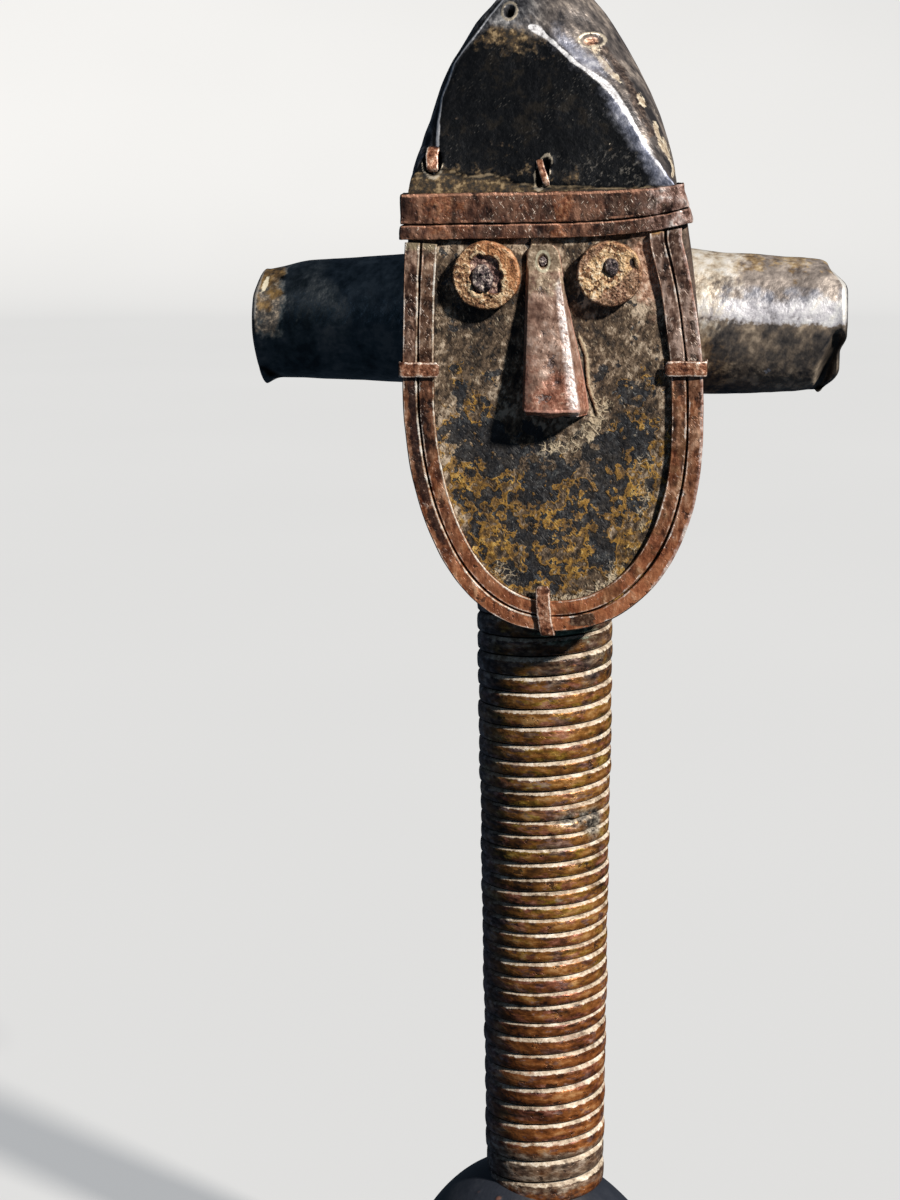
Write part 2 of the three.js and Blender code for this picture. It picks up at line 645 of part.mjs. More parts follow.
function makeNoseNail() {
  const z = BROW_Z - NOSE_BELOW_BROW - NOSE_TAB_LENGTH * 0.6;
  const under = GAP + NOSE_TAB_THICKNESS + GAP;
  const profile = [[0, under], [NOSE_NAIL_RADIUS, under],
    [NOSE_NAIL_RADIUS * 0.6, under + NAIL_HEAD_HEIGHT / 2], [0, under + NAIL_HEAD_HEIGHT / 2]];
  const geometry = turnedOnFace(profile, 12, mix(NOSE_TOP_X, NOSE_BOTTOM_X, 0.1), z);
  return mesh('nose_nail', geometry, iron);
}

// A bent staple that lies on the cap's facet and is turned a little in it.
function makeCapStaple(name, x, up, width, length, turn) {
  const lean = Math.atan2(FACET_SET_BACK, FACET_HEIGHT);
  const piece = mesh(name, new THREE.BoxGeometry(width, STAPLE_THICKNESS, length), copper);
  const z = BAND_TOP_Z + up;
  const half = Math.hypot(width, length) / 2;
  const nearest = Math.min(facetPlane(x - half, z), facetPlane(x + half, z));
  piece.rotation.set(-lean, turn, 0);
  piece.position.set(x, nearest - (STAPLE_THICKNESS / 2 + GAP) / Math.cos(lean), z);
  return piece;
}

const figure = new THREE.Group();
figure.add(makeStand(), makeNeck());

// The head and all it carries sit a little to the right of the neck.
const headGroup = new THREE.Group();
headGroup.position.x = HEAD_OFFSET;
headGroup.add(makeHead(), makeCap(), ...makeBands(), ...makeStrips());
headGroup.add(...EARS.map((ear) => mesh(ear.name, earGeometry(ear, 0), darkSheet)));
headGroup.add(makeSideClip('clip_left', -1, CLIP_BELOW_BROW_LEFT));
headGroup.add(makeSideClip('clip_right', 1, CLIP_BELOW_BROW_RIGHT));
headGroup.add(makeChinClip(), makeNose(), makeNoseNail(), ...EYES.flatMap(makeEye));
headGroup.add(makeCapStaple('cap_staple_left', STAPLE_LEFT_X, STAPLE_LEFT_UP,
  STAPLE_LEFT_WIDTH, STAPLE_LEFT_LENGTH, STAPLE_LEFT_TURN));
headGroup.add(makeCapStaple('cap_staple_front', STAPLE_FRONT_X, STAPLE_FRONT_UP,
  STAPLE_FRONT_WIDTH, STAPLE_FRONT_LENGTH, STAPLE_FRONT_TURN));
figure.add(headGroup);

export default figure;
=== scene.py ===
# %% [markdown]
# # A metal-clad guardian figure
# The figure is a wooden core under hammered sheet: a U-shaped face, a tall cap, two side pieces
# and a long neck wound with brass strip. The measured solids are loaded first and stay where they
# are. Every piece made below is a finer surface that takes the place of one solid.

# %% Load the measured solids
import json
import math

import bpy
import numpy as np
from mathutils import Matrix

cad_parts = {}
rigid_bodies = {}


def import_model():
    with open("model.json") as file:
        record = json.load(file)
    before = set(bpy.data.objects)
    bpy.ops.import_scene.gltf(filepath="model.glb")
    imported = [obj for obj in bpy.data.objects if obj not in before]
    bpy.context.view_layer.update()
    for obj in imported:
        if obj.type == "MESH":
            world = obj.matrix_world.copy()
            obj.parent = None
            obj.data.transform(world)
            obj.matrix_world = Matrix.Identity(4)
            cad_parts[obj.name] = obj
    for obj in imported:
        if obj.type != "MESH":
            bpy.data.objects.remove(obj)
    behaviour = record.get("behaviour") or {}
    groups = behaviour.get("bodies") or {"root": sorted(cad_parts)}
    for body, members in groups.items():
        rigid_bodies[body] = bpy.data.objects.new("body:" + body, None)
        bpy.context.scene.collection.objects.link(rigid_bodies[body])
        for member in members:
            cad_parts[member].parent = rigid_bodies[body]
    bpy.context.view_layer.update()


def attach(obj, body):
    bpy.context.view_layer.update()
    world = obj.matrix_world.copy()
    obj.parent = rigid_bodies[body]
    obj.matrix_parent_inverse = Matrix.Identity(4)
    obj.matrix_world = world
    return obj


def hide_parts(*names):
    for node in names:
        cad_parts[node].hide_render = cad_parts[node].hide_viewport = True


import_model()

# %% [markdown]
# ## Sizes
# All lengths are millimetres until a mesh is made. They repeat the sizes of the solids, so each
# fine surface lies where its solid lies. Heights are measured from the flat underside.

# %% The sizes that the solids were made with
STAND_HEIGHT, STAND_RADIUS, STAND_STEEPNESS, STAND_LEAN = 81.5, 62, 1.76, 0.08
SEAT_Z, CHIN_Z, BROW_Z, BAND_TOP_Z, APEX_Z = 75, 277, 401.6, 415.9, 484.9
NECK_TOP_Z, NECK_RADIUS_BOTTOM, NECK_RADIUS_TOP = 302, 20.5, 22.8
WINDING_TURNS, WINDING_NARROWING = 39, 0.16
HEAD_OFFSET, FACE_PLANE, FACE_HEIGHT = 4.9, -36.5, 124.6
FACE_HALF_WIDTH, FACE_TOP_HALF_WIDTH = 47.5, 44.2
CHIN_CURVE_LEFT, CHIN_CURVE_RIGHT, CHIN_POWER = 82, 66, 2.2
LEAN_START_Z, HEAD_LEAN = 362, 5.2
CAP_HEIGHT, CAP_HALF_WIDTH, CAP_BULGE, APEX_SET_BACK = 69, 43.2, 44, 6.5
HEAD_BACK, BACK_POWER, FACE_EDGE, CHIN_THICKNESS, NAPE_CURVE = 26, 2.2, 10, 12.5, 34
FACE_BOXINESS, BAND_BOXINESS, EAR_POWER = 14.0, 60.0, 1.8
FACET_HEIGHT, FACET_SET_BACK, FACET_TURN = 48, 16.8, 0.12
EAR_SOCKET, EAR_SET_BACK, EAR_HALF_DEPTH_SHARE = 16, 30, 0.415
BAND_NARROW_HEIGHT, BAND_TILT, BAND_CURL, BAND_TOP_CURL = 4.7, 0.018, 3.8, 1.6
STRIP_WIDTH, STRIP_SPACING, STRIP_DRIFT, CLIP_OVERHANG = 4.9, 0.35, 2.4, 2.2
CLIP_WIDTH, CLIP_THICKNESS = 4.8, 1.0
NOSE_LENGTH, NOSE_BELOW_BROW, NOSE_HEIGHT, NOSE_TAB_THICKNESS = 52.7, 2.3, 11, 1.2
print("chin", CHIN_Z, "brow", BROW_Z, "top of the cap", APEX_Z)

# %% [markdown]
# ## Small tools for shapes
# Hammered metal is never flat, so each surface gets lumps and dents. Both come from a lattice of
# fixed random numbers: the same place always gets the same lump, however often this is run.


# %% Blending and lumps
def mix(low, high, share):
    """Straight blend: low where share is 0, high where it is 1."""
    return low + (high - low) * share


def ease(value, low, high):
    """0 below low, 1 above high, and 3t^2 - 2t^3 between them."""
    share = np.clip((value - low) / (high - low), 0, 1)
    return share * share * (3 - 2 * share)


def hump(value, width):
    """A bell: 1 where value is 0, falling as exp(-(value / width)^2)."""
    return np.exp(-(value / width) ** 2)


def lattice_numbers(cells, seed):
    """A fixed number from -1 to 1 for each whole-number cell: its three numbers are multiplied
    by large primes, mixed bit by bit and cut to 16 bits."""
    n = cells.astype(np.int64)
    n = n[..., 0] * 73856093 ^ n[..., 1] * 19349663 ^ n[..., 2] * 83492791 ^ (seed * 7919 + 1)
    n = n & 0xFFFFFFFF
    n = (n ^ n >> 15) * 73244475 & 0xFFFFFFFF
    n = (n ^ n >> 13) * 73244475 & 0xFFFFFFFF
    return ((n ^ n >> 16) & 0xFFFF) / 32767.5 - 1


def swell(points, size, seed, layers=1):
    """Soft lumps from -1 to 1: the numbers at the eight lattice corners round a point, blended
    with an eased share. Each further layer is half as large and half as strong."""
    total = 0
    for layer in range(layers):
        at = points / (np.array(size, float) / 2 ** layer) + 17.3 * layer
        cell = np.floor(at)
        share = ease(at - cell, 0, 1)
        for corner in np.ndindex(2, 2, 2):
            corner = np.array(corner)
            weight = np.prod(np.where(corner, share, 1 - share), axis=-1)
            total = total + weight * lattice_numbers(cell + corner, seed + layer) / 2 ** layer
    return total / (2 - 2.0 ** (1 - layers))


def seed_distance(points, size, seed):
    """Distance to the nearest of one stray seed point per lattice cell, in cells: the bottom of
    each dent is at its seed."""
    at = points / np.array(size, float)
    cell = np.floor(at)
    nearest = np.full(at.shape[:-1], 9.0)
    for step in np.ndindex(3, 3, 3):
        near = cell + np.array(step) - 1
        stray = np.stack([lattice_numbers(near, seed + axis) for axis in range(3)], axis=-1)
        nearest = np.minimum(nearest, np.linalg.norm(at - near - 0.5 - 0.42 * stray, axis=-1))
    return nearest


def dimples(points, size, seed, reach):
    """Round dents from 0 to 1: how far a place lies inside the reach of its seed point, squared."""
    return np.clip(reach - seed_distance(points, size, seed), 0, 1) ** 2


def line_distance(x, z, line):
    """Distance in the x-z plane from each place to a line of straight stretches."""
    nearest = np.full(np.broadcast(x, z).shape, 1e9)
    for (x0, z0), (x1, z1) in zip(line[:-1], line[1:]):
        long = (x1 - x0) ** 2 + (z1 - z0) ** 2
        share = np.clip(((x - x0) * (x1 - x0) + (z - z0) * (z1 - z0)) / long, 0, 1)
        nearest = np.minimum(nearest, np.hypot(x - mix(x0, x1, share), z - mix(z0, z1, share)))
    return nearest


print("a lump at the chin:", float(np.round(swell(np.array([0.0, FACE_PLANE, CHIN_Z]), 8, 1), 3)))

# %% [markdown]
# ## From a grid of points to a piece
# A piece here is a grid: rows of points that go round it, one row after another. Joining each
# point to its neighbours gives four-sided faces, and a fan closes each end. Masks are numbers
# kept at the points, such as where an edge is worn bright; the finishes read them later.


# %% Grid to mesh
def grid_normals(grid):
    """Unit normals of a closed grid: the cross product of its two directions, turned to point
    away from the middle of each row."""
    along = np.gradient(grid, axis=0)
    across = np.roll(grid, -1, axis=1) - np.roll(grid, 1, axis=1)
    normal = np.cross(across, along)
    normal /= np.maximum(np.linalg.norm(normal, axis=-1, keepdims=True), 1e-9)
    outwards = (normal * (grid - grid.mean(axis=1, keepdims=True))).sum()
    return normal if outwards > 0 else -normal


def make_piece(name, grid, masks, node, ring=False, soft=50):
    """A closed mesh in metres from a grid in millimetres, with the masks kept at its points. The
    last column joins the first. With ring the last row joins the first too, and otherwise both
    ends are closed with a fan. Edges sharper than soft degrees stay crisp."""
    rows, columns = grid.shape[:2]
    number = np.arange(rows * columns).reshape(rows, columns)
    upper = np.roll(number, -1, axis=0) if ring else number[1:]
    lower = number if ring else number[:-1]
    sides = [lower, np.roll(lower, -1, axis=1), np.roll(upper, -1, axis=1), upper]
    quads = np.stack(sides, axis=-1).reshape(-1, 4)
    points = grid.reshape(-1, 3)
    values = {key: np.broadcast_to(mask, (rows, columns)).reshape(-1)
              for key, mask in masks.items()}
    fans = np.empty((0, 3), int)
    if not ring:
        for row, flip in ((number[0], -1), (number[-1], 1)):
            centre = np.full(columns, len(points))
            points = np.vstack([points, points[row].mean(axis=0)])
            values = {key: np.append(mask, mask[row].mean()) for key, mask in values.items()}
            fans = np.vstack([fans, np.stack([row, np.roll(row, -1), centre], axis=-1)[:, ::flip]])
    a, b, c, d = (points[quads[:, i]] for i in range(4))
    volume = (np.cross(a, b) * c).sum() + (np.cross(a, c) * d).sum()
    if volume < 0:
        quads, fans = quads[:, ::-1], fans[:, ::-1]
    mesh = bpy.data.meshes.new(name)
    mesh.from_pydata((points * 0.001).tolist(), [], quads.tolist() + fans.tolist())
    for key, mask in values.items():
        mesh.attributes.new(key, "FLOAT", "POINT").data.foreach_set("value", mask.astype(np.float32))
    mesh.shade_smooth()
    mesh.set_sharp_from_angle(angle=math.radians(soft))
    piece = bpy.data.objects.new(name, mesh)
    bpy.context.scene.collection.objects.link(piece)
    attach(piece, "root")
    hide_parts(*([node] if isinstance(node, str) else node))
    print(f"{name}: {2 * len(quads) + len(fans)} triangles,",
          "box", np.round(points.min(axis=0), 1).tolist(), np.round(points.max(axis=0), 1).tolist())
    return piece


def carry(path, side, out, profile):
    """A profile carried along a path: each point of the path plus the profile's first number
    along side and its second along out."""
    return (path[:, None] + side[:, None] * profile[None, :, :1] + out[:, None]
            * profile[None, :, 1:2])


def bar_profile(half_width, half_height, corner, count):
    """Points round a bar's section: a superellipse in polar form, with more of them where it
    turns. A higher corner number makes it boxier."""
    turn = np.linspace(0, 2 * np.pi, count, endpoint=False) + 0.0001
    across, up = np.cos(turn), np.sin(turn)
    across = np.sign(across) * np.abs(across) ** 0.7
    up = np.sign(up) * np.abs(up) ** 0.7
    size = (np.abs(across) ** corner + np.abs(up) ** corner) ** (-1 / corner)
    return np.stack([half_width * across * size, half_height * up * size], axis=-1)


# %% [markdown]
# ## Tools for finishes
# A finish is a tree of nodes. Writing it as sums and products is easier to read than wiring it,
# so one small class wraps a socket and turns +, - and * into Math nodes. Patterns read Object
# coordinates, scaled to millimetres, so a size of 3 is 3 mm on the figure.


# %% Values and finishes
def seen(*screen):
    """A colour as it is seen on a screen, 0 to 255, turned into the shader's light values."""
    share = np.array(screen) / 255
    return tuple(np.where(share <= 0.04045, share / 12.92, ((share + 0.055) / 1.055) ** 2.4).tolist())


class Value:
    """A number that varies over a surface. Arithmetic on it adds Math nodes to its finish."""

    def __init__(self, finish, socket):
        self.finish, self.socket = finish, socket

    def _math(self, operation, *numbers):
        made = self.finish.node("ShaderNodeMath", {"operation": operation}, dict(enumerate(numbers)))
        return Value(self.finish, made.outputs[0])

    def __add__(self, other):
        return self._math("ADD", self, other)

    def __sub__(self, other):
        return self._math("SUBTRACT", self, other)

    def __mul__(self, other):
        return self._math("MULTIPLY", self, other)

    def __rsub__(self, other):
        return self._math("SUBTRACT", other, self)

    __radd__, __rmul__ = __add__, __mul__

    def most(self, other):
        """The larger of the two."""
        return self._math("MAXIMUM", self, other)

    def rise(self, low, high):
        """0 below low, 1 above high and a smooth step between them; low may be above high."""
        made = self.finish.node(
            "ShaderNodeMapRange", {"interpolation_type": "SMOOTHSTEP"},
            {"Value": self, "From Min": low, "From Max": high})
        return Value(self.finish, made.outputs["Result"])


class Finish:
    """A material that is built up from patterns, masks and colours."""

    def __init__(self, name):
        self.material = bpy.data.materials.new(name)
        self.material.use_nodes = True
        self.tree = self.material.node_tree
        self.tree.nodes.clear()
        place = self.node("ShaderNodeTexCoord").outputs["Object"]
        self.place = self.node("ShaderNodeVectorMath", {"operation": "SCALE"},
                               {"Vector": place, "Scale": 1000}).outputs["Vector"]
        self.colour = None

    def node(self, kind, settings=None, sockets=None):
        """Adds a node: its settings first, then a value or a link for each named socket."""
        made = self.tree.nodes.new(kind)
        for key, setting in (settings or {}).items():
            if key == "stops":
                ramp = made.color_ramp
                while len(ramp.elements) < len(setting):
                    ramp.elements.new(1)
                for stop, (place, colour) in zip(ramp.elements, setting):
                    stop.position, stop.color = place, (*colour, 1)
            else:
                setattr(made, key, setting)
        for key, given in (sockets or {}).items():
            given = given.socket if isinstance(given, Value) else given
            if isinstance(given, bpy.types.NodeSocket):
                self.tree.links.new(given, made.inputs[key])
            else:
                made.inputs[key].default_value = given
        return made

    def mask(self, name):
        """The number kept under this name at the mesh's points."""
        made = self.node("ShaderNodeAttribute", {"attribute_name": name})
        return Value(self, made.outputs["Fac"])

    def height(self):
        """Height above the underside, in millimetres."""
        return Value(self, self.node("ShaderNodeSeparateXYZ", sockets={0: self.place}).outputs["Z"])

    def _turned(self, stretch, turn, shift):
        """The place in millimetres, moved, turned and stretched for a pattern."""
        return self.node("ShaderNodeMapping", {"vector_type": "TEXTURE"}, {
            "Vector": self.place, "Rotation": turn, "Location": (shift, 0.37 * shift, 0),
            "Scale": stretch}).outputs["Vector"]

    def clouds(self, size, detail=4, rough=0.55, stretch=(1, 1, 1), turn=(0, 0, 0), shift=0):
        """Cloudy noise from 0 to 1 with lumps of this size in millimetres."""
        made = self.node("ShaderNodeTexNoise", None, {
            "Vector": self._turned(stretch, turn, shift), "Scale": 1 / size,
            "Detail": detail, "Roughness": rough})
        return Value(self, made.outputs["Fac"])

    def mottle(self, *sizes, shift=0, **more):
        """Cloudy noise of several sizes added up, its contrast raised to fill 0 to 1."""
        parts = [self.clouds(size, 3, 0.6, shift=shift + 9 * i, **more)
                 for i, size in enumerate(sizes)]
        return (sum(parts) - len(parts) / 2) * (2.6 / len(parts) ** 0.5) + 0.5

    def threads(self, size, width, shift=0):
        """Thin curved lines: 1 where smooth noise crosses its middle value and 0 away from it."""
        off = self.clouds(size, 1.5, 0.5, shift=shift) - 0.5
        return (off * off).rise(width ** 2, 0.2 * width ** 2)

    def strokes(self, size, long, slant, share=0.3, shift=0):
        """Short marks, 1 on a mark: slanted long cells, cut off close round their stray points."""
        made = self.node("ShaderNodeTexVoronoi", {"feature": "F1"}, {
            "Vector": self._turned((0.5, 1, long), (0, slant, 0), shift), "Scale": 1 / size})
        return Value(self, made.outputs["Distance"]).rise(share, 0.6 * share)

    def ramp(self, value, *stops):
        """Colours along a value, each stop a place and a colour."""
        return self.node("ShaderNodeValToRGB", {"stops": stops}, {"Fac": value}).outputs["Color"]

    def tones(self, value, dark, low, high, light):
        """Four colours, as seen on a screen, spread along a value from 0 to 1."""
        places = (0.1, 0.38, 0.62, 0.9)
        return self.ramp(value, *zip(places, (seen(*c) for c in (dark, low, high, light))))

    def base(self, value, dark, low, high, light):
        """The first coat: four tones along a value."""
        self.colour = self.tones(value, dark, low, high, light)

    def cover(self, amount, colour):
        """A colour laid over what is there by an amount from 0 to 1."""
        colour = (*colour, 1) if isinstance(colour, tuple) else colour
        made = self.node("ShaderNodeMix", {"data_type": "RGBA"}, {0: amount, 6: self.colour, 7: colour})
        self.colour = made.outputs[2]

    def lay(self, amount, value, dark, low, high, light):
        """Four tones along a value, laid over what is there by an amount."""
        self.cover(amount, self.tones(value, dark, low, high, light))

    def tint(self, amount, screen):
        """One plain colour, as seen on a screen, laid over what is there by an amount."""
        self.cover(amount, seen(*screen))

    def close(self, roughness, metallic, relief=None, depth=0.2, coat=0.0):
        """Ends the tree: a Principled shader whose relief, in millimetres, goes through Bump."""
        sockets = {"Base Color": self.colour, "Roughness": roughness, "Metallic": metallic}
        if relief is not None:
            bump = self.node("ShaderNodeBump", None, {"Height": relief, "Distance": depth * 0.001})
            sockets["Normal"] = bump.outputs["Normal"]
        shader = self.node("ShaderNodeBsdfPrincipled", None, sockets)
        shader.inputs["Coat Weight"].default_value = coat
        shader.inputs["Coat Roughness"].default_value = 0.25
        self.node("ShaderNodeOutputMaterial", None, {"Surface": shader.outputs["BSDF"]})
        print(f"finish {self.material.name}: {len(self.tree.nodes)} nodes")
        return self.material


# %% [markdown]
# ## The camera
# The photograph looks at the figure from a little to its left hand and from above, close enough
# that nearer parts look larger. The neck's middle line sits right of the frame's middle, so the
# lens is shifted sideways rather than the camera turned.

# %% Camera
AZIMUTH, PITCH, DISTANCE, EYE_HEIGHT = math.radians(4.0), math.radians(10.9), 0.805, 0.435
lens = bpy.data.cameras.new("photo_lens")
lens.lens = 73.5
lens.sensor_width = 36
lens.shift_x = -95 / 1200
lens.clip_start = 0.01
camera = bpy.data.objects.new("photo_camera", lens)
camera.location = (DISTANCE * math.sin(AZIMUTH), -DISTANCE * math.cos(AZIMUTH), EYE_HEIGHT)
camera.rotation_euler = (math.pi / 2 - PITCH, 0, AZIMUTH)
bpy.context.scene.collection.objects.link(camera)
bpy.context.scene.camera = camera
print("camera at", [round(v, 3) for v in camera.location])

# %% [markdown]
# ## The wooden foot
# Only the top of a smooth dark dome shows, with reddish lumps of resin where the neck goes in and
# a greyish cracked place on the other side. A dome is a profile turned round an axis, here an
# axis that leans a little to the left.


# %% Foot
def make_foot():
    """Rings up a quarter ellipse. Each ring's centre moves left by the lean times its height.
    Lumps of resin rise where the neck enters and shallow cracks run down from it."""
    share = np.concatenate([np.linspace(0, 1, 14)[:-1], 1 + np.linspace(0, 1, 150)])
    low = share < 1
    steep = STAND_RADIUS * STAND_STEEPNESS
    z = np.where(low, 1.5 * share, mix(1.5, STAND_HEIGHT - 0.05, np.sin((share - 1) * np.pi / 2)))
    radius = STAND_RADIUS * np.sqrt(1 - ((z + steep - STAND_HEIGHT) / steep) ** 2)
    radius = np.where(low, radius - 3 * (1 - np.sin(share * np.pi / 2)), radius)
    turn = np.linspace(0, 2 * np.pi, 240, endpoint=False)[None]
    z, radius = z[:, None], radius[:, None]
    grid = np.stack(np.broadcast_arrays(
        radius * np.cos(turn) - STAND_LEAN * z, radius * np.sin(turn), z), axis=-1)
    normal = grid_normals(grid)
    soft = swell(grid, 34, 3) * 0.4 * ease(z, 0, 8)
    near_neck = hump(radius - 22.5, 1.5) * ease(z, 60, 74)
    left_front = hump((turn - 4.2), 0.34)
    right_front = hump((turn - 5.2), 0.38)
    resin = near_neck * left_front * ease(swell(grid, 2.4, 8, 2), -0.1, 0.4)
    crack_lines = 1 - ease(np.abs(swell(grid, (4, 4, 9), 12, 2)), 0.0, 0.14)
    cracked = hump(radius - 24, 7) * right_front
    depth = soft + 0.9 * resin - 0.35 * cracked * crack_lines - 0.45
    grid = grid + normal * depth[..., None]
    masks = {"resin": resin, "cracked": cracked, "crack": cracked * crack_lines}
    return make_piece("wooden_foot", grid, masks, "stand")


foot = make_foot()

# %% [markdown]
# ## The wound neck
# One brass strip is wound round the neck, each turn pressed against the last. Its lower edge
# stands out over the turn below and its upper edge is bent in, which catches the light as a pale
# ledge. So the piece is one profile carried along a screw line, with a pitch that is least at
# mid-height and wanders a little, as handwork does.


# %% Winding
def groove_height(turn):
    """Height of the groove after some turns: an even rise, made slower at mid-height by a cubic
    in the turn, plus a small wander."""
    bottom = SEAT_Z + 0.3
    pitch = (NECK_TOP_Z - bottom) / WINDING_TURNS
    swing = 2 * turn / WINDING_TURNS - 1
    even = pitch * (1 - WINDING_NARROWING) * turn
    cubic = pitch * WINDING_NARROWING * WINDING_TURNS / 2 * (swing ** 3 + 1)
    at = np.stack([turn, 0 * turn, 0 * turn], axis=-1)
    return bottom + even + cubic + 0.5 * swell(at, 0.9, 21) + 0.24 * swell(at, 0.16, 22, 2)


def make_winding():
    """The profile is a share of the way from one groove to the next: out at the lower lip, a
    rounded face, then a ragged ledge that falls back in. The radius is the neck's at that
    height."""
    turn = np.linspace(-0.9, WINDING_TURNS - 0.98, WINDING_TURNS * 150)[:, None]
    share, out = np.array([
        (0, -1.6), (0.012, -1.35), (0.035, -0.28), (0.08, -0.06), (0.2, 0.05), (0.42, 0.12),
        (0.62, 0.08), (0.71, -0.05), (0.78, -0.32), (0.86, -0.66), (0.93, -1.0), (0.98, -1.35),
        (1, -1.6)]).T
    ledge_start = 0.71
    angle = 2 * np.pi * turn
    at = np.stack([turn[:, 0], 0 * turn[:, 0], 0 * turn[:, 0]], axis=-1)
    ledge_low = (0.765 + 0.055 * swell(at, 0.31, 31) + 0.03 * swell(at, 0.06, 32, 2))[:, None]
    on_ledge = (share[None] > 0.65) & (share[None] < 1)
    stretch = (1 - ledge_low) / (1 - ledge_start)
    moved = np.where(on_ledge, 1 - (1 - share[None]) * stretch, share[None] + 0 * turn)
    low, high = groove_height(turn[:, 0]), groove_height(turn[:, 0] + 1)
    z = mix(low[:, None], high[:, None], moved)
    radius = mix(NECK_RADIUS_BOTTOM, NECK_RADIUS_TOP, (z - SEAT_Z) / (CHIN_Z - SEAT_Z))
    wander = 0.24 * swell(at, 0.8, 33) + 0.14 * swell(at, 0.19, 34, 2)
    radius = radius + out[None] + (wander - 0.1)[:, None]
    grid = np.stack([radius * np.cos(angle), radius * np.sin(angle), z], axis=-1)
    face = ease(share, 0.02, 0.06)[None] * (1 - ease(moved, ledge_low - 0.02, ledge_low + 0.02))
    dents = dimples(grid, (3.6, 3.6, 2.8), 36, 0.65)
    rough = 0.15 * swell(grid, 1.8, 37, 2) * (1 - face) + 0.07 * swell(grid, 2.4, 38, 2) * face
    toward = np.arctan2(grid[..., 1], grid[..., 0])
    torn = (hump(toward + 0.98, 0.32) * hump(z - 209.6, 2.4)
            + hump(toward + 0.62, 0.16) * hump(z - 206.5, 4.2))
    torn = np.clip(torn * 1.8, 0, 1) * ease(swell(grid, 2.0, 39, 2), -0.75, -0.2)
    splice = hump(toward + 2.0, 0.62) * hump(z - 104.5 - 1.2 * (toward + 2.0), 0.45)
    shift = rough - 0.32 * dents * face - (0.7 + 0.5 * swell(grid, 1.6, 30)) * torn - 0.5 * splice
    grid[..., 0] += shift * np.cos(angle)
    grid[..., 1] += shift * np.sin(angle)
    masks = {"ledge": ease(moved, ledge_low - 0.05, ledge_low + 0.05), "torn": torn,
             # dusty is low on the left flank, which lies in shade, and painted shade goes there.
             "dusty": mix(0.08, 1.0, ease(np.cos(toward), -0.94, -0.5)),
             # under and groove mark where shade is painted under each lip and in the groove.
             "under": 1 - ease(moved, 0.0, 0.09), "groove": ease(moved, 0.86, 1.0),
             "splice": splice, "verdigris": hump(toward + 1.2, 0.55) * hump(z - 273, 3.6),
             # middle marks where a highlight is painted across each turn.
             "middle": hump(moved - 0.42, 0.17)}
    return make_winding_mesh(grid, masks)


def make_winding_mesh(grid, masks):
    """The strip's last point is tucked well inside, so that its two long edges and its ends
    close into one body round the neck's core."""
    inner = grid[:, [-1, 0]].copy()
    inner[..., :2] *= 0.86
    grid = np.concatenate([grid, inner], axis=1)
    masks = {key: np.concatenate([mask, mask[:, [-1, 0]]], axis=1) for key, mask in masks.items()}
    return make_piece("neck_strip", grid, masks, "neck_winding", soft=60)


neck = make_winding()

# %% [markdown]
# ## The head under its sheet
# Each level of the head is a ring: a boxy front half, flat across the face, and a rounder back
# half. Rings are spaced closely over the face, where the sheet shows dents, scale and dust.


# %% Rings of the head and the cap
def face_half_width(z, left):
    """Half the face's width: a rounded U, reached sooner on the right, that narrows upwards."""
    up = z - CHIN_Z
    curve = np.where(left, CHIN_CURVE_LEFT, CHIN_CURVE_RIGHT)
    chin = (1 - (1 - np.clip(up / curve, 0, 1)) ** CHIN_POWER) ** (1 / CHIN_POWER)
    narrowing = np.clip((up - CHIN_CURVE_RIGHT) / (FACE_HEIGHT - CHIN_CURVE_RIGHT), 0, 1) ** 2
    return mix(FACE_HALF_WIDTH * chin, FACE_TOP_HALF_WIDTH, narrowing)


def lean(z):
    """How far the middle has leaned to the left at a height."""
    return HEAD_LEAN * np.clip((z - LEAN_START_Z) / (APEX_Z - LEAN_START_Z), 0, 1)


def ring_points(width, front, widest, back, power, z, turn, grow=0):
    """A level's ring: a superellipse in polar form with one exponent in front and a rounder one
    behind. Grow moves it outwards."""
    across, along = np.cos(turn), np.sin(turn)
    exponent = np.where(along < 0, power, BACK_POWER)
    reach = np.where(along < 0, widest - front, back - widest)
    size = (np.abs(across) ** exponent + np.abs(along) ** exponent) ** (-1 / exponent)
    return np.stack(np.broadcast_arrays(
        (width + grow) * across * size - lean(z), widest + (reach + grow) * along * size,
        z + 0 * turn), axis=-1)


def head_ring(z, turn, grow=0, power=FACE_BOXINESS):
    """A level of the head: as wide as the face, its back set out by a quarter circle at the nape."""
    up = z - CHIN_Z
    left = np.cos(turn) < 0
    into_band = np.clip((z - BROW_Z) / (BAND_TOP_Z - BROW_Z), 0, 1)
    width = mix(face_half_width(z, left), CAP_HALF_WIDTH, into_band)
    nape = np.sqrt(1 - (1 - np.clip(up / NAPE_CURVE, 0, 1)) ** 2)
    back = mix(FACE_PLANE + CHIN_THICKNESS, HEAD_BACK, nape)
    return ring_points(width, FACE_PLANE, FACE_PLANE + FACE_EDGE, back, power, z, turn, grow)


def right_squeeze(x, z):
    """How far the right end leans in: none under the bands, most at the bands' top, and less
    and less up the cap."""
    height = (z - BROW_Z) / (BAND_TOP_Z - BROW_Z)
    return 2.2 * np.clip(height, 0, 1) ** 1.6 * ease(x, 26, 44) * (1 - ease(z, BAND_TOP_Z, 446))


FRONT_TURNS = np.arctan2(-1, np.linspace(1, -1, 201))[:-1]
HEAD_TURNS = np.concatenate([
    np.linspace(0, -np.pi / 4, 12, endpoint=False), FRONT_TURNS,
    np.linspace(-3 * np.pi / 4, -np.pi, 12, endpoint=False),
    np.linspace(-np.pi, -2 * np.pi, 100, endpoint=False)])[None]
print("points round the head:", HEAD_TURNS.size)


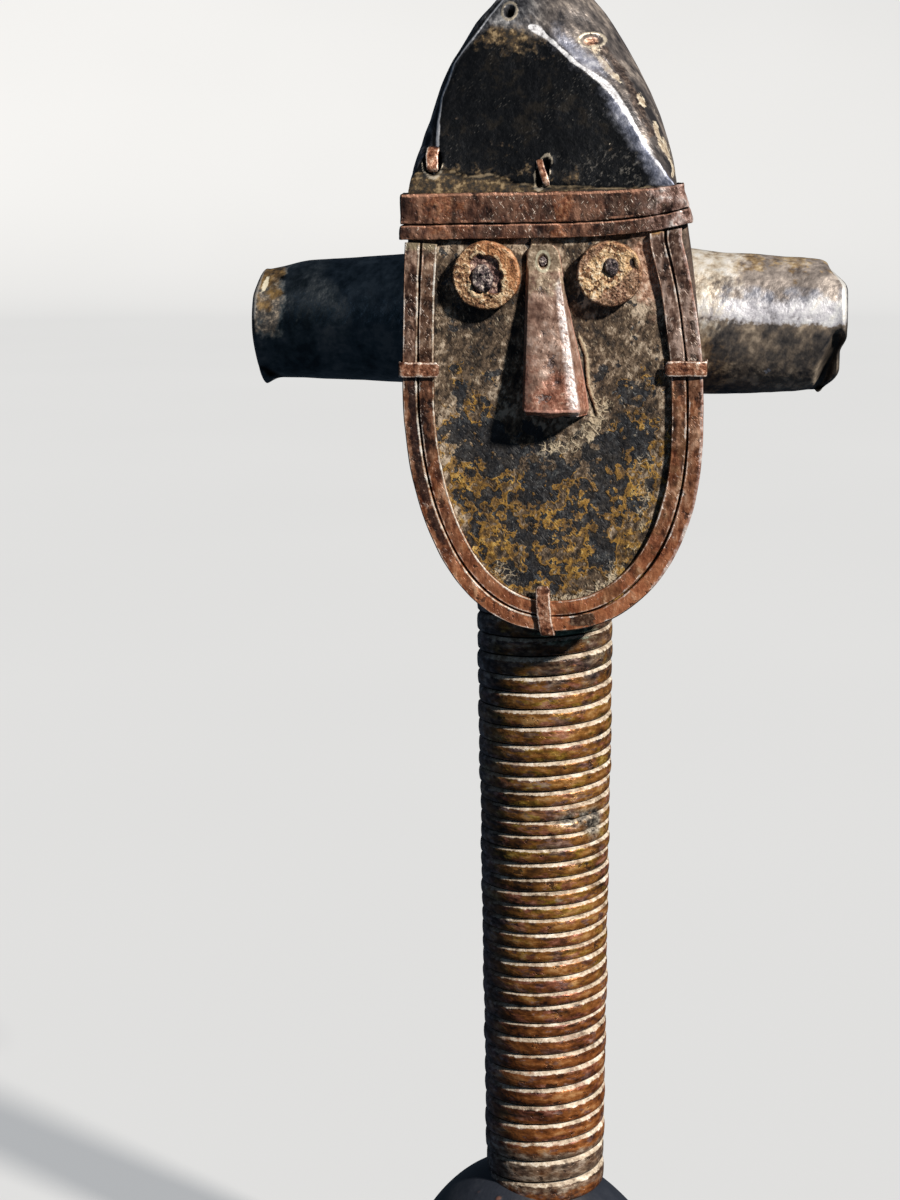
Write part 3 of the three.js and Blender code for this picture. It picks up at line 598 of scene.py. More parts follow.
# %% Head
def make_head():
    """Rings of the head with soft dents all over. On the face the relief is shallow: it must
    stay under the strips. Cracks are thin grooves along short lines."""
    levels = np.concatenate([mix(0.4, 60, np.linspace(0, 1, 90, endpoint=False) ** 1.6),
                             np.linspace(60, 133.9, 110)])
    z = CHIN_Z + levels[:, None]
    grid = head_ring(z, HEAD_TURNS)
    x, y, z = grid[..., 0], grid[..., 1], grid[..., 2]
    face = 1 - ease(y, FACE_PLANE + 0.3, FACE_PLANE + 1.5)
    edge = face_half_width(z, x < -lean(z)) - np.abs(x + lean(z))
    inner = face * ease(edge, 10.5, 14)
    wavy = 0.4 * swell(grid, 26, 41) + 0.14 * swell(grid, 7, 42, 2)
    scale = np.clip(swell(grid, 2.6, 43, 3), -0.2, 1)
    lower = 1 - ease(z, 330, 352)
    cracks = [[(7.7, 370.5), (9.7, 365), (10.4, 356), (12.4, 350), (13.6, 346)],
              [(-7.0, 401), (-7.9, 396), (-7.7, 388)]]
    crack = sum(hump(line_distance(x, z, line) + 0.12 * swell(grid, 1.4, 44), 0.38)
                for line in cracks)
    rim = sum(hump(line_distance(x - 0.9, z, line), 0.8) for line in cracks)
    nail_hole = hump(np.hypot(x + 24.1, z - 297.2), 0.9)
    relief = inner * (wavy + (0.1 + 0.16 * lower) * scale) - crack * 0.7 + 0.2 * rim - nail_hole
    flank = (1 - face) * ease(z, CHIN_Z + 4, CHIN_Z + 16)
    grid = grid + grid_normals(grid) * (flank * (0.35 * swell(grid, 18, 45, 2) - 0.35))[..., None]
    grid[..., 1] -= relief
    under_nose = line_distance(x, z, [(-2, 336.5), (4, 336), (9, 338.5), (14, 343), (16, 350)])
    at_chin = line_distance(x, z, [(-12, 287.5), (-2, 287), (10, 288.5), (20, 294)])
    down_right = line_distance(x, z, [(28, 332), (30, 318), (25, 303), (18, 296)])
    dust = (hump(under_nose + 1.6 * swell(grid, 4, 46, 2), 2.6)
            + mix(0.6, 0.85, ease(x, 0, 4)) * hump(at_chin + swell(grid, 3, 47), 1.8)
            + 0.45 * hump(edge - 10.6, 1.0) * ease(swell(grid, 6, 48, 2), -0.2, 0.5)
            + 0.5 * hump(np.hypot(x - 15, z - 360), 11) * ease(swell(grid, 4, 49, 2), 0.0, 0.6)
            + 0.4 * hump(down_right + 1.5 * swell(grid, 3, 50, 2), 2.0)
            + 0.55 * hump(np.hypot(x + 15, 1.5 * (z - 296)), 6))
    ochre = (0.8 * ease(334 - z, 0, 12) + 0.52 * ease(372 - z, 0, 14) * ease(np.abs(x), 12, 20)
             + 0.2 * ease(348 - z, 0, 10) + 0.3 * hump(np.hypot(x - 27, z - 333), 6))
    soot = (0.76 * ease(z, 317, 326) * ease(349 - z, 0, 10)
            + mix(0.5, 0.64, hump(x + 6, 16)) * (1 - ease(z, 319, 327)) * ease(z, 284, 294)
            + 0.6 * hump(np.hypot(x - 24, 0.7 * (z - 354)), 9)
            + 0.5 * hump(np.hypot(x + 27, 0.7 * (z - 352)), 8))
    soot = soot * ease(edge, 11, 17) + 0.08
    masks = {"face": face, "dust": np.clip(dust, 0, 1) * face, "ochre": np.clip(ochre, 0, 1) * face,
             "reddish": face * hump((x - 30) / 6, 1) * hump((z - 392) / 12, 1),
             "soot": np.clip(soot, 0, 1) * face, "crack": np.clip(crack + nail_hole, 0, 1) * face,
             "pale_rim": np.clip(rim, 0, 1) * face * (1 - np.clip(crack, 0, 1))}
    grid[..., 0] += HEAD_OFFSET
    return make_piece("head_sheet", grid, masks, "head")


head = make_head()

# %% [markdown]
# ## The cap
# The cap is a rounded crest with a flat facet in front, as if one cut had been made down it. The
# sheet of the facet laps over the left flank as a thin raised edge, and ends above the brow in a
# torn lower edge. Two staples sit in slots. There is a nail hole near the top, and a small hole
# on the right flank shows copper.


# %% Cap
def facet_plane(x, z):
    """Distance of the facet from the middle plane: it slopes back and turns to the left."""
    up = np.maximum(0, z - BAND_TOP_Z) / FACET_HEIGHT
    return FACE_PLANE + (FACET_SET_BACK - FACET_TURN * (x + lean(z))) * up


def make_cap():
    """Rings whose size shrinks with the square root of the height left, boxier or rounder in
    front by height, which sets where the fold runs. The front is cut along the facet with a
    soft maximum, so its edge is a fold about a millimetre round."""
    top = np.sin(np.linspace(0, 1, 190) * np.pi / 2)
    z = mix(411.3, APEX_Z - 0.35, top)[:, None]
    turn = -np.linspace(0, 2 * np.pi, 340, endpoint=False)[None]
    up = np.clip((z - BAND_TOP_Z) / CAP_HEIGHT, 0, 1)
    shrink = np.sqrt(1 - up)
    on_left = np.cos(turn) < 0
    fuller = np.where(on_left, 2.4 * np.sin(np.pi * up ** 0.8), 1.1 * ease(up, 0, 0.15) * (1 - up))
    boxiness = np.where(on_left, np.interp(z, [416, 421, 430, 442, 456], [7.4, 4.4, 2.8, 3.4, 3.9]),
                        np.interp(z, [416, 420, 427, 446, 455], [7.4, 4.4, 3.0, 3.0, 2.1]))
    middle = APEX_SET_BACK * up
    grid = ring_points(CAP_HALF_WIDTH * shrink + fuller, middle - CAP_BULGE * shrink,
                       mix(FACE_PLANE + FACE_EDGE, APEX_SET_BACK, up ** 0.6),
                       middle + HEAD_BACK * shrink, boxiness, z, turn)
    grid[..., 0] -= right_squeeze(grid[..., 0], grid[..., 2])
    x, y, z = grid[..., 0], grid[..., 1], grid[..., 2]
    facet = facet_plane(x, z)
    depth = y - facet + 0.45 * swell(grid, 9, 51, 2)
    fold = 1.0
    cut = facet + 0.5 * (depth + np.sqrt(depth ** 2 + fold ** 2))
    inside = ease(-depth, -0.6, 0.8)
    grid[..., 1] = np.where(depth < 6, cut, y)
    high = ease(z, BAND_TOP_Z, BAND_TOP_Z + 4)
    lap_x = np.interp(z, [414, 421, 430, 437, 444, 454.5, 465, 476],
                      [-42.6, -38.6, -36.7, -36.9, -36.0, -32.6, -25.6, -17]) + 0.4 * swell(grid, 5, 52)
    front = grid[..., 1] < 4
    lap = ease(x - lap_x, -0.25, 0.25)
    torn_z = np.interp(x, [-40, -32, -26, -19, -12, -4, 2, 12, 22, 32],
                       [421.3, 421.6, 420.2, 421.0, 418.7, 417.6, 417.4, 417.1, 416.9, 417.3])
    torn_z = torn_z + 0.5 * swell(grid, (3.5, 50, 50), 53, 2)
    upper = ease(z - torn_z, -0.22, 0.22)
    slots = [(-37.8, 425.2, 2.9, 4.6, 0.12), (-3.2, 421.5, 1.9, 4.7, -0.3)]
    from_slot = [np.hypot(((x - at_x) * math.cos(t) + (z - at_z) * math.sin(t)) / half_width,
                          ((z - at_z) * math.cos(t) - (x - at_x) * math.sin(t)) / half_height)
                 for at_x, at_z, half_width, half_height, t in slots]
    slot = sum(1 - ease(far, 0.8, 1.0) for far in from_slot)
    slot_rim = (hump(from_slot[0] - 1.15, 0.16) * ease(424.5 - z, -1.5, 1.5)
                + hump(from_slot[1] - 1.15, 0.16)) * inside
    near = [np.linalg.norm((grid - np.array(place)) / np.array(size), axis=-1) for place, size in (
        ((-15.2, -14, 471.2), (1.7, 4, 2.2)), ((11.4, -17.5, 462.6), (3.2, 6, 1.7)))]
    hole = 1 - ease(near[0], 0.75, 1.0)
    patch = 1 - ease(near[1], 0.8, 1.1)
    hole_rim = hump(near[0] - 1.35, 0.3) + hump(near[1] - 1.35, 0.25) + slot_rim
    dents = dimples(grid, 15, 54, 0.75)
    sunk = dimples(grid, 8, 56, 0.75)
    moved = (0.42 * lap * front * high * upper + 0.3 * upper * inside - 0.5
             + high * (0.5 * swell(grid, 22, 55) - 1.5 * dents * (1 - inside) - 0.5 * sunk)
             - 1.6 * slot * inside - 2.4 * hole - 0.7 * patch + 0.25 * hole_rim)
    grid = grid + grid_normals(grid) * (moved * ease(APEX_Z - z, -0.1, 3))[..., None]
    cream_line = [(11, 463.5), (15, 455), (18.8, 451.3), (22.9, 447.3), (26.6, 444.3),
                  (31.8, 436.3), (32.8, 433.2), (35.1, 428.1), (37.5, 421.5)]
    from_cream = line_distance(x, z, cream_line) + 0.9 * swell(grid, 3, 57, 2)
    cream = (1 - inside) * front * hump(from_cream, 1.5)
    cream = cream * ease(swell(grid, 5.5, 58, 2), -0.25, 0.25)
    fold_line = [(-8.3, 466.3), (-5, 465), (6.9, 454.6), (10.6, 452.3), (14.4, 449.9), (17.6, 447.1),
                 (19.7, 444.2), (26.2, 433.9), (30.5, 427.3), (34.8, 420.6), (37.5, 417)]
    from_fold = line_distance(x, z, fold_line)
    broad = (0.7 + 0.9 * hump(z - 446, 6) + 0.9 * hump(x + 6, 2.6) + 0.5 * swell(grid, 4, 59, 2))
    # The worn mask is a painted highlight along the fold.
    worn = np.exp(-(from_fold / np.maximum(broad, 0.35)) ** 2) * front * ease(z, 414, 426)
    # Painted sheen beside the fold, on the facet low down and on the flank near the top.
    glow = (hump(from_fold, 4.2) * inside * (0.25 + 0.75 * ease(450 - z, 0, 10))
            + 0.8 * hump(from_fold - 2, 4.0) * (1 - inside) * front * ease(z, 446, 456)
            * ease(x, -6, 4))
    # A painted highlight, near white, just inside the lapped edge.
    lap_edge = hump(x - lap_x - 0.4, 0.6) * front * ease(z, 424, 429)
    torn_edge = hump(z - torn_z, 0.45) * (np.abs(x) < 40) * inside * ease(swell(grid, 6, 60, 2), -0.5, 0.3)
    lap_shade = hump(x - lap_x + 0.9, 0.5) * front + hump(z - torn_z + 0.7, 0.4) * inside
    khaki = (inside * (1 - upper) + 0.8 * hump(np.hypot((x + 15) / 1.4, (z - 463.5) * 1.3), 9)
             + 0.32 * hump(z - 421, 5.0) * inside * (x < 8))
    to_right = ease(x, -16, 0)
    from_scars = line_distance(x, z, [(14, 460), (19, 455), (22, 450), (27, 440), (30, 434)])
    scars = (1 - inside) * front * hump(from_scars + 1.2 * swell(grid, 4, 62, 2), 1.6)
    masks = {"frost": inside * hump(np.hypot(x - 20, 2.0 * (z - 422)), 12), "scars": scars,
             # The flanks' grey is partly the sheet's own colour and partly painted sheen.
             "flank_right": (1 - inside) * to_right, "flank_left": (1 - inside) * (1 - to_right),
             "cream": cream,
             "worn": np.clip(worn, 0, 1), "glow": glow, "lap_edge": np.clip(lap_edge, 0, 1),
             "torn_edge": np.clip(torn_edge, 0, 1),
             # dark slots and holes, and painted shade under the lapped and torn edges
             "dark_gap": np.clip(slot * inside + hole + 0.9 * lap_shade, 0, 1),
             "khaki": np.clip(khaki, 0, 1), "copper_patch": patch * ease(-near[1], -0.9, -0.6),
             "hole_rim": np.clip(hole_rim, 0, 1)}
    grid[..., 0] += HEAD_OFFSET
    return make_piece("cap_sheet", grid, masks, "cap")


cap = make_cap()

# %% [markdown]
# ## The side pieces
# Each is a flattened tube of sheet with a soft ridge along its front, a little taller at the
# head than at its tip. The tip is closed by folded sheet: on the right the fold has crumpled at
# the lower corner, on the left a small dog-ear hangs down.


# %% Ears
EARS = {
    "left": dict(side=-1, length=50.8, root=43, tip=37.5, below=27.4, node="ear_left", seed=61),
    "right": dict(side=1, length=45.4, root=47.6, tip=41.6, below=28.2, node="ear_right", seed=71),
}


def make_ear(which, side, length, root, tip, below, node, seed):
    """Sections of a superellipse set along x. Its height shrinks towards the tip, where the end
    closes over a rounded edge."""
    inner = FACE_HALF_WIDTH - EAR_SOCKET
    share = np.linspace(0, 1, 150)
    close = np.linspace(0, 1, 26)[1:]
    reach = np.concatenate([mix(inner, FACE_HALF_WIDTH + length - 2.2, share),
                            FACE_HALF_WIDTH + length - 2.2 + 2.2 * np.sin(close * np.pi / 2)])[:, None]
    inset = np.concatenate([0 * share, 3.2 * (1 - np.cos(close * np.pi / 2))])[:, None]
    turn = np.linspace(0, 2 * np.pi, 170, endpoint=False)[None]
    across, up = np.cos(turn), np.sin(turn)
    size = (np.abs(across) ** EAR_POWER + np.abs(up) ** EAR_POWER) ** (-1 / EAR_POWER)
    along = (reach - FACE_HALF_WIDTH) / length
    height = mix(root, tip, along)
    middle_y = FACE_PLANE + EAR_SET_BACK
    y = middle_y + (EAR_HALF_DEPTH_SHARE * height - inset) * across * size
    middle = BROW_Z - below - along
    z = middle + (height / 2 - inset) * up * size
    x = side * reach + 0 * turn
    to_tip = length + FACE_HALF_WIDTH - reach
    front = ease(middle_y - y, -2, 3)
    if which == "right":
        corner = ease(z - middle, 9, 22) * ease(-to_tip, -9, 0)
        bent = 0.014 * np.clip(middle - z, 0, 20) ** 2 * ease(-to_tip, -12, 0)
        x = x - 5.0 * corner ** 1.6 - bent - 0.3
        z = z + 2.4 * np.clip(1 - (up * size) ** 2, 0, 1) * (across < 0)
        z = z - 2.0 * corner
        x = x - 0.9 * np.sin(z / 2.3) * ease(middle - z, 0, 6) * ease(-to_tip, -5, 0)
        crumple = line_distance(side * x, z, [(length + 44.5, middle.mean() - 4),
                                             (length + 41.5, middle.mean() - 12),
                                             (length + 39.5, middle.mean() - 21)])
        fold = hump(crumple, 2.2) * front * ease(-to_tip, -14, -3)
        y = y + 5.0 * fold
    else:
        corner = ease(z - middle, 9, 19) * ease(-to_tip, -7, 0)
        x = x + 1.4 * corner
        z = z - 1.8 * ease(z - middle, 0, 15) * ease(-to_tip, -18, -3)
        x = x + 0.9 * ease(middle - z, 2, 19) * ease(-to_tip, -10, 0)
        dog = hump(np.hypot(to_tip - 1.8, 0.6 * (z - middle + 19)), 3.4) * front
        z = z - 2.2 * dog
        fold = hump(line_distance(side * x, z, [(length + 45.5, middle.mean() - 15),
                                               (length + 40, middle.mean() - 19)]), 1.0) * front
        y = y + 1.0 * fold
    grid = np.stack(np.broadcast_arrays(x, y, z), axis=-1)
    normal = grid_normals(grid)
    dents = dimples(grid, (13, 13, 10), seed, 0.8)
    hammered = dimples(grid, (4.5, 4.5, 4.5), seed + 2, 0.8)
    strong = 1.0 if which == "right" else 0.6
    moved = strong * (-0.8 * dents - 0.12 * hammered + 0.5 * swell(grid, 17, seed + 4)) - 0.35
    grid = grid + normal * (moved * ease(to_tip, -0.5, 4))[..., None]
    tip_band = ease(-to_tip, -14, -7) * front
    rim = hump(to_tip - 1.1, 0.8) * front
    rel = grid[..., 2] - middle
    from_glint = np.hypot(to_tip - 3.6 - 0.15 * (rel - 12), 0.42 * (rel - 12.3))
    # fold marks the crumpled crease of the tip, where shade is painted dark.
    masks = {"front": front, "tip": tip_band, "fold": np.clip(fold, 0, 1),
             # rim marks the upper rim of the tip, where a highlight is painted.
             "rim": rim * ease(rel, -3, 6), "end": ease(-to_tip, -1.0, -0.1), "rel": rel / 24,
             "along": along + 0 * turn,
             "glint": (which == "left") * front * hump(from_glint, 1.25)}
    grid[..., 0] += HEAD_OFFSET
    return make_piece(f"side_sheet_{which}", grid, masks, node)


ears = {which: make_ear(which, **sizes) for which, sizes in EARS.items()}

# %% [markdown]
# ## The brow bands
# Two bands of pitted copper run right round the head over the seam between face and cap.
# They are flat straps with softly rounded edges, wide above and narrow below, and they curl up
# at the right. Their pits come from both the mesh and the finish.


# %% Bands
def band_rise(x, curl):
    """How far a band's edge climbs across the face: a slight tilt plus a curl at the right."""
    return BAND_TILT * x + curl * np.clip(x / CAP_HALF_WIDTH, 0, 1) ** 2.5


BAND_TURNS = np.concatenate([
    np.linspace(0, -np.pi / 4, 16, endpoint=False), np.arctan2(-1, np.linspace(1, -1, 301))[:-1],
    np.linspace(-3 * np.pi / 4, -np.pi, 16, endpoint=False),
    np.linspace(-np.pi, -2 * np.pi, 100, endpoint=False)])


def make_band(name, low, high, low_curl, high_curl, node, seed):
    """A strap's section, a rounded bar, carried round the head's ring and moved up by its rise."""
    half = (high - low) / 2
    profile = bar_profile(half, 0.7, 5.0, 44 if half > 3 else 30)
    turn = BAND_TURNS[:, None]
    share = (profile[None, :, 0] / half + 1) / 2
    level = mix(low, high, share)
    grow = 1.32 + profile[None, :, 1]
    base = head_ring(level + 0 * turn, turn + 0 * level, grow, power=BAND_BOXINESS)
    rise = mix(band_rise(base[..., 0], low_curl), band_rise(base[..., 0], high_curl), share)
    grid = head_ring(level + rise, turn + 0 * level, grow, power=BAND_BOXINESS)
    grid[..., 0] -= right_squeeze(grid[..., 0], grid[..., 2])
    x = grid[..., 0]
    outer = ease(profile[None, :, 1] + 0 * turn, 0.1, 0.55)
    normal = grid_normals(grid)
    pits = dimples(grid, (1.9, 1.9, 1.5), seed, 0.6)
    dents = dimples(grid, (9, 9, 6), seed + 2, 0.7)
    ragged = swell(grid, 3.0, seed + 4, 2)
    fleck_zone = 0.35 + 0.65 * np.clip(hump(x + 14, 16) + hump(x - 23, 18), 0, 1)
    moved = outer * (-0.7 * pits - 0.8 * dents + 0.22 * ragged + 0.3 * swell(grid, 10, seed + 5, 2))
    grid = grid + normal * (moved - 0.05)[..., None]
    grid[..., 2] += (1 - outer) * 0.3 * ragged
    edge = outer * (hump(share - 0.93, 0.05) + 0.6 * hump(share - 0.07, 0.05))
    masks = {"edge": edge, "pits": pits * outer, "flecks": fleck_zone * outer,
             # Painted shade on the band's inner side and at its left end, with a dark mark near x = -30.5
             # mm.
             "grime": np.clip(1 - outer + 0.8 * hump(x + 30.5, 1.2) + 0.4 * ease(-x, 42, 45), 0, 1),
             # A highlight is painted on the right end.
             "bright_end": ease(x, 25, 35) * outer, "orange": hump(x - 3, 5) + 0.9 * hump(x + 33, 10)}
    grid[..., 0] += HEAD_OFFSET
    return make_piece(name, grid, masks, node, ring=True, soft=40)


between = BROW_Z + BAND_NARROW_HEIGHT
band_narrow = make_band("narrow_strap", BROW_Z, between - 0.15, BAND_CURL, BAND_CURL,
                        "brow_band_narrow", 81)
band_wide = make_band("wide_strap", between + 0.15, BAND_TOP_Z, BAND_CURL, BAND_TOP_CURL,
                      "brow_band_wide", 91)

# %% [markdown]
# ## The strips round the face
# Two copper strips lie side by side round the U of the face. Each is one section carried along
# the face's outline, moved inwards. Their edges are turned up a little and painted bright, partly
# as rubbed metal and partly as highlight.


# %% Rim strips
def face_outline(count):
    """The face's edge from under the bands at the upper left, round the chin, to the upper
    right, with evenly spaced points."""
    def half(side, curve):
        end = side * (FACE_TOP_HALF_WIDTH - 0.3)
        top = BROW_Z + band_rise(end, BAND_CURL) - 0.6 - CHIN_Z
        flank = np.linspace(top, curve, 60, endpoint=False)
        chin = curve * (1 - np.sin(np.linspace(0, 1, 200) * np.pi / 2))
        z = CHIN_Z + np.concatenate([flank, chin])
        return np.stack([side * face_half_width(z, side < 0) - lean(z), z], axis=-1)
    line = np.concatenate([half(-1, CHIN_CURVE_LEFT)[:-1], half(1, CHIN_CURVE_RIGHT)[::-1]])
    length = np.concatenate([[0], np.cumsum(np.linalg.norm(np.diff(line, axis=0), axis=1))])
    even = np.linspace(0, length[-1], count)
    return np.stack([np.interp(even, length, line[:, i]) for i in (0, 1)], axis=-1)


def inset_line(distance, count=620):
    """The outline moved inwards at right angles to itself, more at the upper right where the
    strips have slipped, and kept under the bands."""
    line = face_outline(count)
    along = np.gradient(line, axis=0)
    along /= np.linalg.norm(along, axis=1, keepdims=True)
    rise = np.clip((line[:, 1] - CHIN_Z - CHIN_CURVE_RIGHT) / (FACE_HEIGHT - CHIN_CURVE_RIGHT), 0, 1)
    move = distance + np.where(line[:, 0] > 0, STRIP_DRIFT * rise ** 3, 0)
    moved = line + np.stack([-along[:, 1], along[:, 0]], axis=-1) * move[:, None]
    top = BROW_Z + band_rise(moved[:, 0], BAND_CURL) - 0.7
    moved[:, 1] = np.minimum(moved[:, 1], top)
    return moved


def make_strip(name, near, node, seed):
    """A rounded bar's section along the middle line of the strip. It stands on the face, and
    its height and its edges wander as hammered metal does."""
    outer, inner = inset_line(near), inset_line(near + STRIP_WIDTH)
    middle = (outer + inner) / 2
    side = (inner - outer) / np.linalg.norm(inner - outer, axis=1, keepdims=True)
    half = np.linalg.norm(inner - outer, axis=1) / 2
    count = len(middle)
    path = np.stack([middle[:, 0], np.full(count, FACE_PLANE - 1.0), middle[:, 1]], axis=-1)
    across = np.stack([side[:, 0], 0 * half, side[:, 1]], axis=-1) * (2 * half / STRIP_WIDTH)[:, None]
    out = np.tile([0.0, -1.0, 0.0], (count, 1))
    half_section = STRIP_WIDTH / 2 - 0.07
    profile = bar_profile(half_section, 1.0, 4.6, 40)
    grid = carry(path, across, out, profile)
    top = np.ones((count, 1)) * ease(profile[None, :, 1], 0.2, 0.85)
    over = np.ones((count, 1)) * profile[None, :, 0] / half_section
    ends = np.arange(count)[:, None]
    end = np.minimum(ends, count - 1 - ends) * 0.6
    lump = swell(grid, (6, 6, 6), seed, 2)
    pits = dimples(grid, (2.6, 2.6, 2.6), seed + 2, 0.55)
    burr = hump(np.abs(over) - 0.84, 0.1) * top
    grid[..., 1] -= top * (0.3 * lump + 0.22 * burr - 0.7 * pits - 0.18 * np.abs(over) ** 2)
    wander = 0.28 * swell(grid, 11, seed + 4, 2)[..., None]
    grid = grid + across[:, None] * wander * (np.abs(over)[..., None] > 0.5)
    if near > 0:
        rounded = hump(end, 1.5) * (ends > count / 2)
        grid[..., 1] += 0.8 * rounded * np.ones_like(over)
        tip = middle[-1]
        grid[..., 0] = mix(grid[..., 0], tip[0], 0.45 * rounded ** 2)
    x, z = grid[..., 0], grid[..., 2]
    left, outer_one = ease(-x, -5, 5), float(near == 0)
    body = ease(over, -0.5, -0.1) * (1 - ease(over, 0.66, 0.8))
    rim_low = np.clip(left + 1 - ease(z, 284, 300), 0, 1)
    # The outer strip's rim gets a painted highlight on the right and painted shade on the left and low
    # down.
    masks = {"shade": outer_one * left * body * ease(z, 292, 314) * (1 - ease(z, 356, 362)),
             "bright_rim": outer_one * (1 - rim_low) * hump(over + 0.95, 0.38) * top,
             "dark_rim": outer_one * rim_low * hump(over + 1.0, 0.2) * (1 - ease(z, 352, 366)),
             "inner_one": (1 - outer_one) * np.ones_like(over),
             "edge": np.clip(burr * (0.4 + 0.6 * ease(swell(grid, 7, seed + 6, 2), -0.4, 0.4)), 0, 1),
             # Painted shade on the strip's sides and underside.
             "inner_edge": hump(over - 0.86, 0.16) * top, "grime": 1 - top,
             "pits": pits * top, "upper": ease(z, 358, 366), "left": left,
             "scab": np.exp(-((x - 9.6) / 4.2) ** 4 - ((z - 281.3) / 2.2) ** 4) * top,
             "pale_top": hump(end, 3.0) * (x < 0), "ochre_tip": hump(end, 2.6) * (x > 0) * (near > 0)}
    grid[..., 0] += HEAD_OFFSET
    return make_piece(name, grid, masks, node, soft=40)


strip_outer = make_strip("outer_strip", 0.0, "rim_strip_outer", 101)
strip_inner = make_strip("inner_strip", STRIP_WIDTH + STRIP_SPACING, "rim_strip_inner", 111)

# %% [markdown]
# ## The staples that hold the strips
# Each is a short flat bar bent over both strips, with a leg that runs back along the side of the
# head. A bent bar is a section carried along a path with a rounded corner.


# %% Staples over the strips
def bent_path(points, radius, step=0.25):
    """A line through the points whose corners are rounded by averaging it over twice the
    radius, with evenly spaced points."""
    points = np.array(points, float)
    length = np.concatenate([[0], np.cumsum(np.linalg.norm(np.diff(points, axis=0), axis=1))])
    even = np.linspace(0, length[-1], max(8, int(length[-1] / step)))
    line = np.stack([np.interp(even, length, points[:, i]) for i in range(3)], axis=-1)
    reach = max(1, int(radius / step))
    padded = np.concatenate([line[:1].repeat(reach, 0), line, line[-1:].repeat(reach, 0)])
    window = np.ones(2 * reach + 1) / (2 * reach + 1)
    smooth = np.stack([np.convolve(padded[:, i], window, "valid") for i in range(3)], axis=-1)
    smooth[0], smooth[-1] = line[0], line[-1]
    return smooth


def make_bent_bar(name, points, width_axis, width, thickness, node, seed, radius=1.0):
    """A flat bar along a bent line: its width lies along one axis and its thickness stands off
    the line. The ends are rounded and the face is pillowed."""
    path = bent_path(points, radius)
    along = np.gradient(path, axis=0)
    along /= np.linalg.norm(along, axis=1, keepdims=True)
    side = np.tile(np.array(width_axis, float), (len(path), 1))
    out = np.cross(along, side)
    end = np.minimum(np.arange(len(path)), len(path) - 1 - np.arange(len(path))) * 0.25
    narrow = (0.72 + 0.28 * ease(end, 0, 1.0))[:, None]
    profile = bar_profile(width / 2, thickness / 2, 3.6, 32)
    grid = carry(path, side * narrow, out * narrow, profile)
    over = np.abs(profile[None, :, 0]) / (width / 2) + 0 * narrow
    grid = grid + 0.16 * swell(grid, 3.0, seed, 2)[..., None] * out[:, None]
    grid = grid + 0.14 * swell(grid, 2.2, seed + 3, 2)[..., None] * side[:, None]
    front = ease(-grid_normals(grid)[..., 1], 0.2, 0.7)
    # Painted shade on the faces turned away from the front.
    masks = {"edge": hump(over - 0.86, 0.16) * 0.8, "grime": 1 - front,
             "ends": hump(end, 1.2)[:, None] * np.ones_like(over)}
    grid[..., 0] += HEAD_OFFSET
    return make_piece(name, grid, masks, node, soft=40)


STAPLE_FRONT = FACE_PLANE - 2.8


def side_clip_points(side, z):
    """From the leg's far end along the head's side, round the face's edge, over both strips."""
    edge = face_half_width(np.array(z - 2.4), side < 0) + 0.8 - side * lean(z)
    reach = 2 * STRIP_WIDTH + STRIP_SPACING + CLIP_OVERHANG
    return [(side * edge, FACE_PLANE + 9, z), (side * edge, STAPLE_FRONT, z),
            (side * (edge - reach), STAPLE_FRONT, z), (side * (edge - reach), STAPLE_FRONT + 0.4, z)]


clip_left = make_bent_bar("staple_left", side_clip_points(-1, BROW_Z - 41.1), (0, 0, 1),
                          CLIP_WIDTH, CLIP_THICKNESS, "clip_left", 121)
clip_right = make_bent_bar("staple_right", side_clip_points(1, BROW_Z - 40.2), (0, 0, 1),
                           CLIP_WIDTH, CLIP_THICKNESS, "clip_right", 125)
clip_chin = make_bent_bar("staple_chin", [
    (-2.9, STAPLE_FRONT, CHIN_Z + 15), (-2.8, STAPLE_FRONT - 0.2, CHIN_Z + 9),
    (-2.3, STAPLE_FRONT, CHIN_Z + 4), (-1.3, STAPLE_FRONT, CHIN_Z - 0.8),
    (-1.3, FACE_PLANE + 9, CHIN_Z - 0.8)], (1, 0, 0), CLIP_WIDTH - 0.1, CLIP_THICKNESS,
    "clip_chin", 129, radius=0.8)
